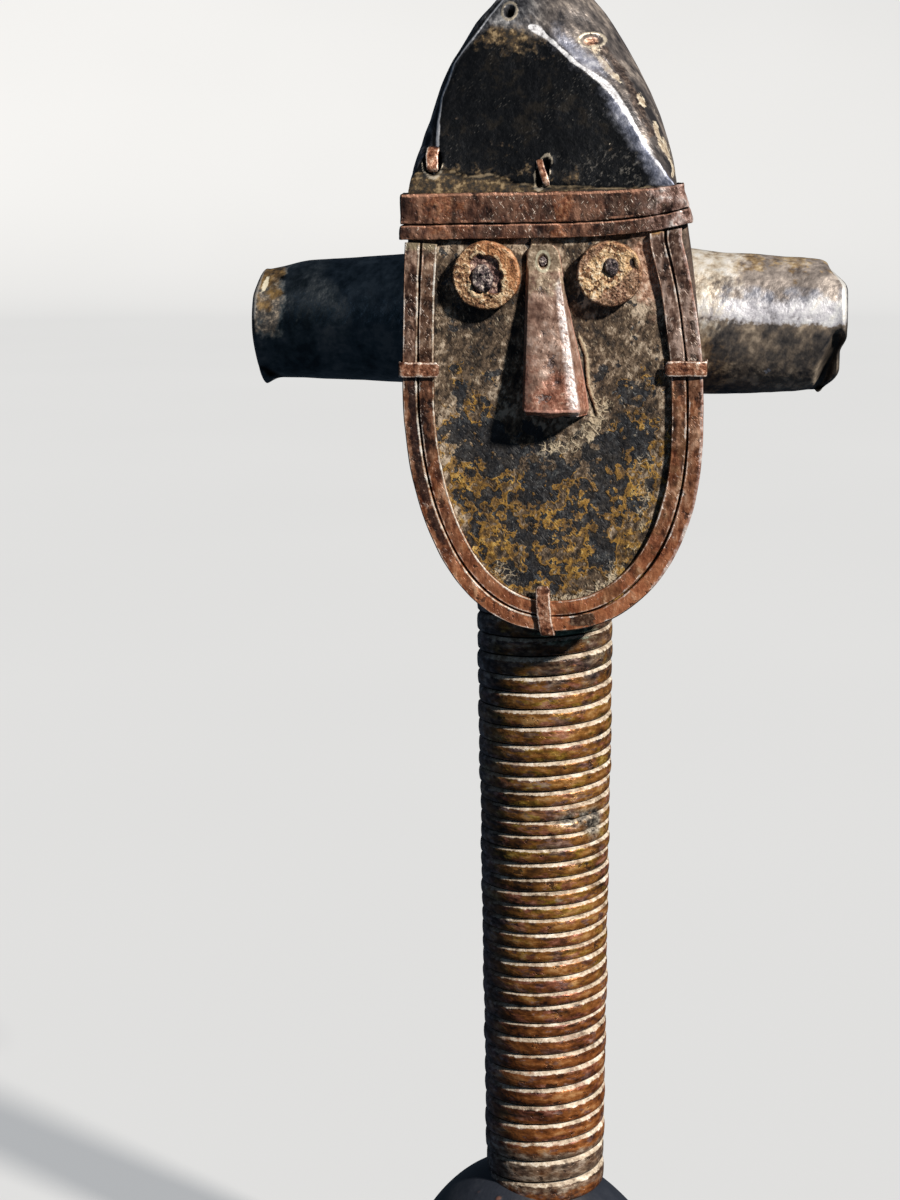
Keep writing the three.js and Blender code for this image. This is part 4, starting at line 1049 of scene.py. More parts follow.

# %% [markdown]
# ## The nose
# The nose is one piece of copper sheet folded to a wedge: a flat tab nailed under the brow, then
# a blunt ridge that stands further out towards its lower end. Its right-hand fold is painted
# bright as a highlight, and its lower end is turned under.


# %% Nose
def make_nose():
    """Sections from the tab down to the tip. Each goes up the steep left side, over the blunt
    ridge and down the slanting right side, and shallow dents are pressed into the ridge."""
    hem = 1.9
    flat_down = np.linspace(0, NOSE_LENGTH - hem, 120)
    turned_under = NOSE_LENGTH - hem + hem * np.sin(np.linspace(0, 1, 22)[1:] * np.pi / 2)
    down = np.concatenate([flat_down, turned_under])[:, None]
    share = down / NOSE_LENGTH
    wedge = np.clip((down - 6.5) / (NOSE_LENGTH - 6.5), 0, 1)
    under = ease(down, NOSE_LENGTH - 2.3, NOSE_LENGTH)
    rise = mix(NOSE_TAB_THICKNESS, NOSE_HEIGHT, wedge ** 0.92) * ease(down, -0.9, 0.9)
    rise = rise - 3.4 * under ** 2
    place = np.linspace(-1, 1, 132)[None]
    left_base, left_fold = mix(-8.0, -9.6, share), mix(-7.0, -8.2, share)
    right_fold = mix(0.8, 9.2, share)
    right_base = np.interp(share, [0, 0.31, 0.65, 1], [1.8, 4.6, 8.0, 11.2])
    fold_at = 0.52
    x = mix(left_fold, right_fold, (place / fold_at + 1) / 2)
    x = np.where(place < -fold_at, mix(left_base, left_fold, (1 + place) / (1 - fold_at)), x)
    x = np.where(place > fold_at, mix(right_fold, right_base, (place - fold_at) / (1 - fold_at)), x)
    middle = (left_base + right_base) / 2
    x = mix(x, middle, 0.1 * under)
    side_part = np.clip((np.abs(place) - fold_at) / (1 - fold_at), 0, 1)
    crown = np.sqrt(np.clip(1 - 0.18 * (np.minimum(np.abs(place), fold_at) / fold_at) ** 4, 0, 1))
    out = rise * crown * (1 - side_part ** 1.35)
    x = x + 0.8 * hump(place - 0.97, 0.12) * ease(share, 0.3, 0.8)
    tab = 1 - ease(down, 5.5, 9)
    flat_tab = NOSE_TAB_THICKNESS * (1 - np.clip(np.abs(place) / 0.98, 0, 1) ** 16)
    out = mix(out, flat_tab, tab)
    x = mix(x, middle, 0.3 * np.clip(1 - down / 2.6, 0, 1) ** 2)
    wavy_hem = 0.5 * swell(np.stack([x, 0 * x, 0 * x], axis=-1), 5, 133) * under
    z = BROW_Z - NOSE_BELOW_BROW - down + wavy_hem
    shell = np.stack(np.broadcast_arrays(x, FACE_PLANE - 0.3 - out, z), axis=-1)
    dents = dimples(shell, 7.5, 131, 0.7)
    pit = (hump(np.hypot(x - 0.2, 0.7 * (z - 363.4)), 2.0)
           + 0.8 * hump(np.hypot(x - 1.9, z - 357.5), 1.5)
           + 0.8 * hump(np.hypot(x + 3.2, z - 385), 1.8)
           + 0.6 * hump(np.hypot(x + 2.6, z - 372), 1.3)
           + 0.7 * hump(np.hypot(0.6 * (x + 1.5), z - 352.5), 1.5))
    pit = pit * (0.75 + 0.5 * swell(shell, 1.4, 136, 2))
    from_hole = np.hypot((x + 2.9) / 1.55, (z - 394.4) / 2.2)
    hole = 1 - ease(from_hole, 0.8, 1.05)
    rough = 0.2 * swell(shell, 4.5, 134, 2) + 0.1 * swell(shell, 1.4, 135, 2)
    shell[..., 1] += (1.2 * dents + 0.9 * pit + 1.0 * hole) * ease(down, 2, 8) + 0.3 * hole - rough
    back = np.stack([x[:, ::-1][:, ::6], np.full((len(down), 22), FACE_PLANE - 0.25), z[:, ::6]],
                    axis=-1)
    grid = np.concatenate([shell, back], axis=1)
    # fold marks where a highlight is painted along the right-hand fold.
    masks = {"fold": hump(place - 0.48, 0.15) * (1 - tab) * ease(share, 0.12, 0.3),
             "tab": np.clip(tab + 0.6 * hump(down - 12, 6), 0, 1), "pit": np.clip(pit, 0, 1),
             "hole": hole, "hole_rim": hump(from_hole - 1.35, 0.28), "share": share,
             "edge": hump(np.abs(place) - 0.97, 0.05)
                     + hump(down - NOSE_LENGTH + 2.1, 0.7) * (np.abs(place) < 0.6)}
    masks = {key: np.concatenate([mask + 0 * place, np.zeros((len(down), back.shape[1]))], axis=1)
             for key, mask in masks.items()}
    grid[..., 0] += HEAD_OFFSET
    return make_piece("nose_sheet", grid, masks, "nose", soft=60)


nose = make_nose()

# %% [markdown]
# ## The eyes and their nails
# Each eye is a thick copper disc held by an iron nail and eaten by corrosion. The left one has a
# wide crater round its nail. The right one is covered by a pale ochre crust with a small nail.


# %% Eyes and nails
EYES = {
    "left": dict(x=-20.4, z=BROW_Z - 11.6, radius=10.7, crater_at=(0.1, -0.2), seed=141),
    "right": dict(x=17.9, z=BROW_Z - 10.8, radius=10.2, crater_at=(0.7, 2.3), seed=151),
}
NAIL_HEADS = {
    "left": dict(x=-21.31, z=BROW_Z - 12.64, under=3.4, radius=3.472, height=2.6, seed=148),
    "right": dict(x=18.6, z=BROW_Z - 8.5, under=4.4, radius=2.2, height=1.5, seed=158),
}


def make_disc(which, x, z, radius, crater_at, seed):
    """Rings from the middle of the back, round the rim, to the middle of the front. Crust and a
    ragged crater are pushed in and out along the disc's axis."""
    turn = np.linspace(0, 2 * np.pi, 150, endpoint=False)[None]
    round_it = np.stack([np.cos(turn), np.sin(turn), 0 * turn], axis=-1)
    ragged = (1 + 0.03 * swell(3 * round_it, 1.1, seed, 3)
              + 0.012 * swell(9 * round_it, 1.1, seed + 9, 2))
    profile = np.concatenate([
        np.stack([np.linspace(0.3, radius - 0.6, 8), np.full(8, 0.35)], axis=-1),
        np.stack([radius - 0.6 + 0.6 * np.sin(np.linspace(0, np.pi, 14)),
                  0.6 + 4.2 * (1 - np.cos(np.linspace(0, np.pi, 14))) / 2], axis=-1)[1:],
        np.stack([np.linspace(radius - 0.7, 0.15, 74), np.full(74, 4.85)], axis=-1)])
    r, out = profile[:, :1] * ragged, profile[:, 1:] + 0 * turn
    dx, dz = r * np.cos(turn), r * np.sin(turn)
    at = np.stack([dx + x, out * 1.5, dz + z], axis=-1)
    front = ease(out, 4.0, 4.7)
    crust = swell(at, 2.2, seed + 1, 3)
    grains = dimples(at, 1.6, seed + 4, 0.6)
    smooth = ease(0.8 * dx + 0.6 * dz, 2, 6)
    from_crater = np.hypot(dx - crater_at[0], dz - crater_at[1])
    if which == "left":
        wide = 5.9 + 2.0 * swell(2.0 * round_it + 0 * at, 1.0, seed + 6, 2)
        crater = 1 - ease(from_crater, wide - 0.4, wide + 0.4)
        broken = ease(swell(2 * round_it + 0 * at, 0.9, seed + 8), -0.5, 0.1)
        lip = hump(from_crater - wide - 0.8, 0.9) * broken
        relief = (-1.1 * crater + 0.3 * lip + (0.12 + 0.3 * (1 - smooth)) * crust + 0.5 * crater * crust
                  - 0.8 * grains * (1 - smooth))
    else:
        crater = hump(from_crater - 1.6, 1.6)
        lip = hump(np.hypot(dx - 7.0, 0.6 * (dz - 3.4)), 1.2)
        relief = 0.5 * crust - 0.6 * crater - 1.0 * lip - 0.8 * grains
    out = out + front * relief - 0.1
    grid = np.stack([dx + x + HEAD_OFFSET, FACE_PLANE - out, dz + z], axis=-1)
    masks = {"crater": crater * front, "lip": lip * front, "front": front, "smooth": smooth,
             "rim": hump(profile[:, :1] - radius + 0.7, 0.9) * ease(out, 2.4, 4.2)
                    * (smooth if which == "left" else 0.6 * ease(dx + 2 * dz, -4, 4)),
             "right_side": np.clip(ease(dx - 1.2 * dz, 3, 8) * ease(np.hypot(dx, dz), 3, 5)
                                   + ease(dz - dx, 8, 12), 0, 1)}
    return make_piece(f"eye_crust_{which}", grid, masks, f"eye_disc_{which}", soft=60)


def make_nail(name, x, z, under, radius, height, node, seed, shank=1.5, tall=1.0):
    """A rusted nail with a lumpy head, tall times as high as it is wide: rings up the shank, out
    under the head and in over it."""
    turn = np.linspace(0, 2 * np.pi, 60, endpoint=False)[None]
    profile = np.array([[0.05, 0.4], [shank * 0.9, 0.4], [shank, under - 0.4], [radius * 0.9, under],
                        [radius, under + 0.25 * height], [radius * 0.94, under + 0.55 * height],
                        [radius * 0.8, under + 0.8 * height], [radius * 0.55, under + 0.95 * height],
                        [radius * 0.3, under + height], [0.05, under + height]])
    grow = np.linspace(0, len(profile) - 1, 40)
    r = np.interp(grow, range(len(profile)), profile[:, 0])[:, None]
    out = np.interp(grow, range(len(profile)), profile[:, 1])[:, None] + 0 * turn
    at = np.stack([r * np.cos(turn), out, r * np.sin(turn)], axis=-1)
    r = r * (1 + 0.26 * swell(at, radius * 0.9, seed, 2))
    out = out + 0.5 * height * swell(at, radius * 0.55, seed + 2, 2) * ease(out, under, under + 0.5)
    grid = np.stack([r * np.cos(turn) + x + HEAD_OFFSET, FACE_PLANE - out, tall * r * np.sin(turn) + z],
                    axis=-1)
    return make_piece(name, grid, {}, node)


for which in EYES:
    make_disc(which, **EYES[which])
    make_nail(f"nail_{which}", **NAIL_HEADS[which], node=f"eye_nail_{which}", tall=1.25)
make_nail("nail_nose", x=-2.9, z=394.5, under=1.0, radius=1.35, height=0.5, seed=165,
          node="nose_nail", shank=0.6)

# %% [markdown]
# ## Staples in the cap
# Two short copper staples are bent into slots of the facet: one near the left edge, one in the
# middle above the brow, set askew.


# %% Cap staples
def facet_point(x, z, out):
    """A point that stands out from the facet by some millimetres."""
    return (x, float(facet_plane(np.array(x), np.array(z))) - out, z)


staple_left = make_bent_bar("cap_staple_a", [
    facet_point(-37.4, 421.8, 0.0), facet_point(-37.6, 422.8, 0.9), facet_point(-37.9, 426.5, 1.0),
    facet_point(-37.6, 428.6, 0.5), facet_point(-37.5, 429.2, -0.6)],
    (1, 0, 0), 3.9, 1.1, "cap_staple_left", 171, radius=0.6)
staple_front = make_bent_bar("cap_staple_b", [
    facet_point(-1.7, 417.6, 0.1), facet_point(-2.3, 419.2, 0.9), facet_point(-3.6, 423.0, 1.0),
    facet_point(-4.2, 424.8, 0.6), facet_point(-4.4, 425.4, -0.5)],
    (0.96, 0, 0.28), 2.2, 1.1, "cap_staple_front", 175, radius=0.6)

# %% [markdown]
# ## Finishes
# The dark sheet is brass under a blue-black skin, with dull ochre where the skin is thin. Highlights
# and sheen on its folds, edges and flanks are painted in, and so is shade in creases and under edges.


# %% Dark sheet of the cap
def cap_finish():
    """Blue-black facet, grey flanks with painted sheen, khaki low down, cream in the creases,
    a painted highlight along the fold with painted sheen beside it, a painted highlight on the
    lapped edge, and dark slots and holes with painted shade under the lapped and torn edges.
    """
    f = Finish("dark_patina_cap")
    fine, small = f.mottle(1.0, 2.0), f.mottle(2.6, 6, shift=6)
    f.base(f.mottle(2.5, 7, 18), (9, 12, 17), (14, 17, 22), (19, 21, 25), (40, 37, 34))
    specks = f.strokes(1.4, 1.4, 0.7, 0.3, 30) * f.mottle(9, shift=71).rise(0.45, 0.8) * 0.3
    slanting = f.mottle(0.9, 2.2, stretch=(1, 1, 1.6), turn=(0, 0.6, 0), shift=38)
    frost = f.mask("frost") * slanting.rise(0.62, 0.95)
    f.tint(specks.most(frost * 0.8), (122, 118, 112))
    khaki = (f.mask("khaki") + 0.7 * small - 0.55).rise(0.1, 0.5)
    f.lay(khaki, f.mottle(1.2, 3, shift=10), (24, 20, 14), (56, 43, 27), (90, 71, 43), (154, 132, 99))
    streak = f.mottle(2.2, 5, 9, stretch=(0.6, 1, 2.0), turn=(0, -0.5, 0), shift=5)
    # The flanks are painted grey, partly as the sheet's own colour and partly as painted sheen.
    right, left = f.mask("flank_right"), f.mask("flank_left")
    f.lay(right, streak, (54, 52, 54), (92, 86, 84), (116, 108, 104), (168, 156, 146))
    f.lay(left, streak, (38, 39, 44), (80, 81, 86), (122, 122, 126), (190, 189, 190))
    flank_cream = f.mask("cream")
    cream = (flank_cream + 0.5 * (fine - 0.5) + 0.35 * (small - 0.5)).rise(0.35, 0.6)
    f.lay(cream * 0.85, fine, (150, 128, 104), (190, 172, 148), (214, 198, 172), (240, 230, 208))
    under_cream = (flank_cream * 2.0).rise(0.1, 0.5) * (1 - cream)
    f.tint(under_cream * small.rise(0.5, 0.8) * 0.7, (52, 40, 34))
    scars = (f.mask("scars") + 0.7 * (small - 0.5)).rise(0.35, 0.7) * (1 - cream)
    f.lay(scars * 0.85, fine, (34, 28, 28), (62, 50, 46), (86, 72, 64), (126, 108, 96))
    f.tint((f.mask("hole_rim") + 0.5 * (fine - 0.5)).rise(0.35, 0.8) * 0.8, (196, 184, 164))
    f.lay(f.mask("copper_patch"), fine, (70, 44, 34), (128, 88, 68), (170, 130, 106), (214, 184, 160))
    ragged = 0.6 * (fine - 0.5) + 0.6 * (small - 0.5)
    # worn: a painted highlight, near white, along the fold, fainter low down.
    worn = (f.mask("worn") + 0.3 * ragged).rise(0.35, 0.7) * (1 - 0.55 * f.height().rise(440, 426))
    # painted bluish sheen beside the fold
    glow = (f.mask("glow") + 0.3 * ragged).rise(0.15, 0.9)
    f.lay(glow * 0.8, 0.7 * small + 0.2, (58, 62, 76), (116, 122, 142), (164, 168, 186), (210, 212, 222))
    f.lay(worn * 0.95, fine, (170, 168, 170), (222, 222, 226), (240, 240, 244), (255, 255, 255))
    # painted highlight along the lapped edge
    lap_edge = (f.mask("lap_edge") + 0.25 * ragged).rise(0.3, 0.7)
    f.tint(lap_edge * 0.9, (228, 230, 236))
    torn_edge = (f.mask("torn_edge") + 0.4 * ragged).rise(0.35, 0.8)
    f.tint(torn_edge * 0.7, (176, 156, 126))
    # near black in the slots and holes, and painted shade under the lapped and torn edges
    f.tint(f.mask("dark_gap"), (12, 12, 14))
    relief = fine * 0.12 + small * 0.3 + streak * 0.3 * (right + left) - 0.4 * under_cream
    roughness = 0.44 + 0.12 * fine + 0.2 * khaki - 0.08 * right - 0.1 * worn
    metallic = 0.7 - 0.3 * right - 0.6 * khaki - 0.3 * cream - 0.3 * worn
    return f.close(roughness, metallic, relief, 0.4)


cap.data.materials.append(cap_finish())


# %% Dark sheet of the side pieces
def ear_finish(which):
    """The left piece is dark with a scurfed tip; the right one turns from grey to gold and pale.
    The right one is painted lighter above its ridge than below, with a painted highlight band,
    painted bluish reflection and a painted highlight near the root. Each has a painted highlight
    on the upper rim of its tip, strong on the right, and painted shade in its folded tip.
    """
    f = Finish(f"dark_patina_side_{which}")
    fine, small, broad = f.mottle(1.0, 2.0), f.mottle(2.6, 6, shift=7), f.mottle(12, shift=17)
    rel = f.mask("rel")
    slant = f.mottle(1.8, 4, 9, stretch=(1, 1, 1.8), turn=(0, 0.5, 0), shift=3)
    if which == "left":
        f.base(f.mottle(3, 8, 16), (56, 66, 72), (76, 88, 94), (92, 102, 108), (120, 124, 126))
        f.lay(rel.rise(0.0, 0.6) * 0.6, slant, (96, 106, 110), (136, 144, 148), (162, 168, 170),
              (204, 206, 204))
        zone = f.mask("tip") * rel.rise(-0.45, 0.0)
        scurf = (zone + 0.6 * (slant - 0.5) + 0.4 * (f.mottle(6, shift=66) - 0.5) - 0.35).rise(0.0, 0.6)
        f.lay(scurf * 0.9, fine, (30, 27, 26), (62, 56, 50), (94, 84, 74), (150, 136, 118))
        gold = (zone * rel.rise(-0.1, 0.4) + 0.9 * f.mottle(4, 8, shift=91) - 1.0).rise(0.05, 0.55)
        f.lay(gold * 0.85, slant, (56, 42, 24), (84, 62, 32), (112, 86, 44), (146, 116, 68))
        roughness, metallic = 0.28 + 0.06 * fine + 0.25 * scurf, 1 - 0.95 * scurf
    else:
        both = slant * 0.6 + broad * 0.4
        f.base(both, (40, 42, 48), (92, 86, 82), (136, 122, 108), (216, 196, 172))
        edge = rel + 0.1 * (small - 0.5) + 0.05 * (fine - 0.5)
        # Painted light: above the ridge the piece is painted lighter, as its lit side, and below darker,
        # as its shaded side.
        upper = edge.rise(0.03, 0.09)
        f.lay(upper, both, (78, 74, 76), (132, 122, 116), (172, 160, 152), (226, 212, 200))
        gold = (rel.rise(0.35, 0.9) * 0.7 + f.mottle(3, 8, shift=91) * 0.8 - 0.8).rise(0.1, 0.5)
        f.lay(gold * 0.85, slant, (104, 80, 52), (160, 132, 92), (198, 170, 126), (230, 208, 170))
        # A painted bluish reflection above the highlight band.
        blue = (1 - (rel - 0.36) * (rel - 0.36) * 16) * f.mottle(6, 14, shift=36)
        f.lay(blue.rise(0.2, 0.65) * 0.75, slant, (104, 108, 122), (140, 144, 158), (166, 169, 180),
              (206, 208, 216))
        # A painted highlight band, near white, just above the ridge.
        band = 1 - (edge - 0.2) * (edge - 0.2) * 26 + 0.9 * (slant - 0.5) + 0.4 * (small - 0.5)
        band = band.rise(0.0, 0.9)
        f.lay(band * upper, slant * 0.7 + fine * 0.3, (168, 166, 172), (216, 214, 222), (240, 239, 244),
              (255, 255, 255))
        # A painted highlight, pale cream, near the root.
        root = ((1 - f.mask("along")) * 2.2 - 1.9 + 0.6 * (slant - 0.5) + 0.5 * rel).rise(0.0, 0.5)
        f.lay(root * 0.85, small, (160, 142, 122), (218, 204, 184), (240, 232, 218), (255, 252, 246))
        warm = ((1 - f.mask("along")).rise(0.7, 1.0) * rel.rise(0.0, -0.3) + slant - 0.9).rise(0.0, 0.5)
        f.lay(warm * 0.7, slant, (70, 52, 36), (116, 92, 68), (150, 124, 94), (200, 176, 144))
        roughness, metallic = 0.4 + 0.12 * fine, 0.25 + 0.15 * upper
    f.tint((1 - f.mask("front")).most(f.mask("end")) * 0.8, (52, 49, 46))
    # painted shade in the folded crease of the tip
    f.tint(f.mask("fold") * 0.85, (22, 20, 19))
    # painted highlight on the upper rim of the tip
    rim = (f.mask("rim") + 0.4 * (fine - 0.5)).rise(0.3, 0.7)
    f.tint(rim * (0.9 if which == "right" else 0.3), (238, 236, 232))
    f.tint((f.mask("glint") + 0.4 * (fine - 0.5)).rise(0.4, 0.7), (214, 204, 180))
    relief = fine * 0.05 + small * 0.25 + slant * 0.3
    return f.close(roughness, metallic, relief, 0.4)


for which, ear in ears.items():
    ear.data.materials.append(ear_finish(which))

# %% [markdown]
# The face is thin brass sheet gone khaki, with blue-black scale and ochre under the nose and
# pale dust caught in corners. Masks say where each may show, and noise gives it ragged edges.


# %% Face sheet
def face_finish():
    """Khaki first, then reddish, gold, black scale with gold along its borders, and dust."""
    f = Finish("khaki_face_sheet")
    fine, small = f.mottle(1.0, 2.0), f.mottle(2.4, 4.8, shift=4)
    slant = f.mottle(1.2, 2.6, stretch=(0.7, 1, 1.3), turn=(0, 0.45, 0), shift=24)
    broad = (f.mottle(3, 7, 16, shift=31) - 0.5) * 1.4 + 0.5
    f.base(0.46 * slant + 0.7 * broad - 0.08, (26, 21, 18), (76, 61, 47), (120, 100, 80), (206, 187, 164))
    marks = f.strokes(1.8, 1.7, 0.5, 0.3, 63).most(f.strokes(2.3, 1.5, -0.7, 0.26, 99))
    f.tint(marks * small.rise(0.4, 0.75) * 0.75, (34, 28, 26))
    light = f.strokes(1.6, 1.8, -0.4, 0.3, 14) * small.rise(0.6, 0.35)
    f.tint(light * 0.7, (190, 172, 146))
    reddish = (f.mask("reddish") + 0.5 * (small - 0.5)).rise(0.2, 0.65)
    f.lay(reddish * 0.9, fine, (122, 84, 64), (178, 134, 110), (216, 176, 150), (244, 216, 194))
    ochre, soot = f.mask("ochre"), f.mask("soot")
    island = f.mottle(4.4, 8, shift=40) + 0.4 * (small - 0.5) + 0.15 * (fine - 0.5)
    depth = 1.5 * (island - 0.5) + 0.9 * soot - 0.3 * reddish - 0.62
    f.lay(soot * 0.5, slant, (26, 22, 18), (60, 48, 37), (92, 75, 56), (140, 120, 94))
    vein = 1 - (depth + 0.13) * (depth + 0.13) * 40
    gold = ochre * 0.95 + 0.75 * (f.mottle(3.2, 7, shift=15) - 0.5) + 0.3 * vein.most(-1) - 0.66
    gold = gold.rise(0.0, 0.35)
    f.lay(gold * 0.9, small * 0.6 + slant * 0.4, (60, 44, 26), (118, 86, 38), (170, 127, 50),
          (226, 188, 108))
    black = depth.rise(-0.07, 0.09)
    f.lay(black * 0.93, small * 0.6 + fine * 0.4, (12, 15, 20), (22, 25, 30), (33, 36, 42), (70, 73, 76))
    scurf = black * (f.strokes(1.2, 1.3, 0.6, 0.24, 17) * small.rise(0.5, 0.8))
    f.tint(scurf * 0.7, (132, 134, 132))
    dust_mask = f.mask("dust")
    dust = (dust_mask + 0.6 * (small - 0.5) + 0.5 * (slant - 0.5)).rise(0.4, 0.85)
    f.lay(dust * 0.8, slant, (78, 64, 52), (124, 106, 86), (162, 144, 120), (216, 202, 178))
    lines = f.threads(5.0, 0.022, 77).most(f.threads(3.4, 0.03, 57))
    lines = lines * (dust_mask + 0.5 * small).rise(0.45, 0.8)
    f.tint(lines * 0.75, (206, 188, 158))
    under = f.threads(4.2, 0.03, 37) * (dust_mask + 0.4 * small).rise(0.4, 0.8) * (1 - lines)
    f.tint(under * 0.6, (52, 42, 36))
    f.tint((f.mask("pale_rim") + 0.5 * (fine - 0.5)).rise(0.3, 0.8), (206, 188, 158))
    f.tint(f.mask("crack"), (14, 12, 12))
    sides = f.mottle(5, 12, 26, stretch=(1, 1, 1.6), shift=9)
    f.lay(1 - f.mask("face"), sides, (44, 34, 30), (66, 52, 45), (86, 69, 60), (124, 104, 92))
    relief = (fine * 0.12 + small * 0.4 + slant * 0.3 + gold * 0.12 + dust * 0.25 + lines * 0.4
              - black * 0.15 - marks * 0.2)
    return f.close(0.6 + 0.2 * fine - 0.12 * black, 0.1, relief, 0.5)


head.data.materials.append(face_finish())

# %% [markdown]
# Copper is red-brown under a thin dark skin. The bands have dark pits and pale flecks of lime,
# and the strips are painted bright along their edges, partly as rubbed metal and partly as highlight.


# %% Copper bands
def band_finish():
    """Red-brown with darker dents and pits, pale flecks, painted highlights on the edges and the
    right end, and painted shade on the inner side and the left end.
    """
    f = Finish("pitted_copper_band")
    fine, small = f.mottle(0.9, 1.8), f.mottle(2.2, 5, shift=12)
    broad = f.mottle(2.6, 6, 12, stretch=(0.8, 1, 1.6))
    f.base(1.2 * broad - 0.1 + 0.15 * f.mask("orange"), (42, 26, 22), (82, 53, 42), (110, 74, 58),
           (154, 112, 90))
    orange = (f.mask("orange") + 0.9 * small - 0.9).rise(0.1, 0.6)
    f.lay(orange * 0.85, fine, (88, 46, 30), (134, 80, 54), (158, 102, 70), (190, 140, 106))
    dents = f.mottle(3.5, 7, stretch=(0.6, 1, 1.6), shift=44).rise(0.7, 0.95)
    f.tint(dents * 0.6, (42, 28, 27))
    pits = (f.mask("pits") * 3.0 + 0.4 * (fine - 0.5)).rise(0.4, 0.9)
    f.tint(pits * 0.6, (40, 27, 24))
    scuffs = f.strokes(1.3, 1.6, -0.4, 0.3, 71) * f.mottle(4, 9, shift=93).rise(0.4, 0.8)
    f.tint(scuffs * 0.5, (158, 126, 108))
    zone = (f.mask("flecks") * 0.6 + f.mottle(2.6, 6, shift=83) - 0.8).rise(0.05, 0.45)
    flecks = f.strokes(1.2, 2.4, 0.7, 0.3, 33).most(f.strokes(1.4, 2.2, -0.6, 0.28, 52)) * zone
    f.tint(zone * 0.35, (132, 104, 88))
    f.lay(flecks * (0.4 + 0.6 * fine.rise(0.3, 0.7)), fine, (128, 104, 90), (174, 150, 134),
          (206, 188, 172), (240, 226, 212))
    # painted shade on the inner side and the left end, and a dark mark
    f.tint(f.mask("grime") * 0.85, (26, 19, 18))
    # A painted highlight along the top and bottom edges.
    edge = (f.mask("edge") + 0.35 * (fine - 0.5) + 0.6 * (small - 0.5)).rise(0.4, 0.8)
    f.tint(edge * 0.75, (204, 150, 122))
    # painted highlight on the right end
    bright_end = f.mask("bright_end")
    f.lay(bright_end * (0.15 + broad).rise(0.25, 0.7) * 0.9, small, (98, 70, 60), (164, 130, 118),
          (212, 182, 172), (255, 242, 236))
    relief = fine * 0.1 + small * 0.4 + broad * 0.3 + flecks * 0.3 - pits * 0.3
    return f.close(0.38 + 0.18 * fine, 0.3 - 0.2 * flecks, relief, 0.55)


bands_copper = band_finish()
for band in (band_narrow, band_wide):
    band.data.materials.append(bands_copper)


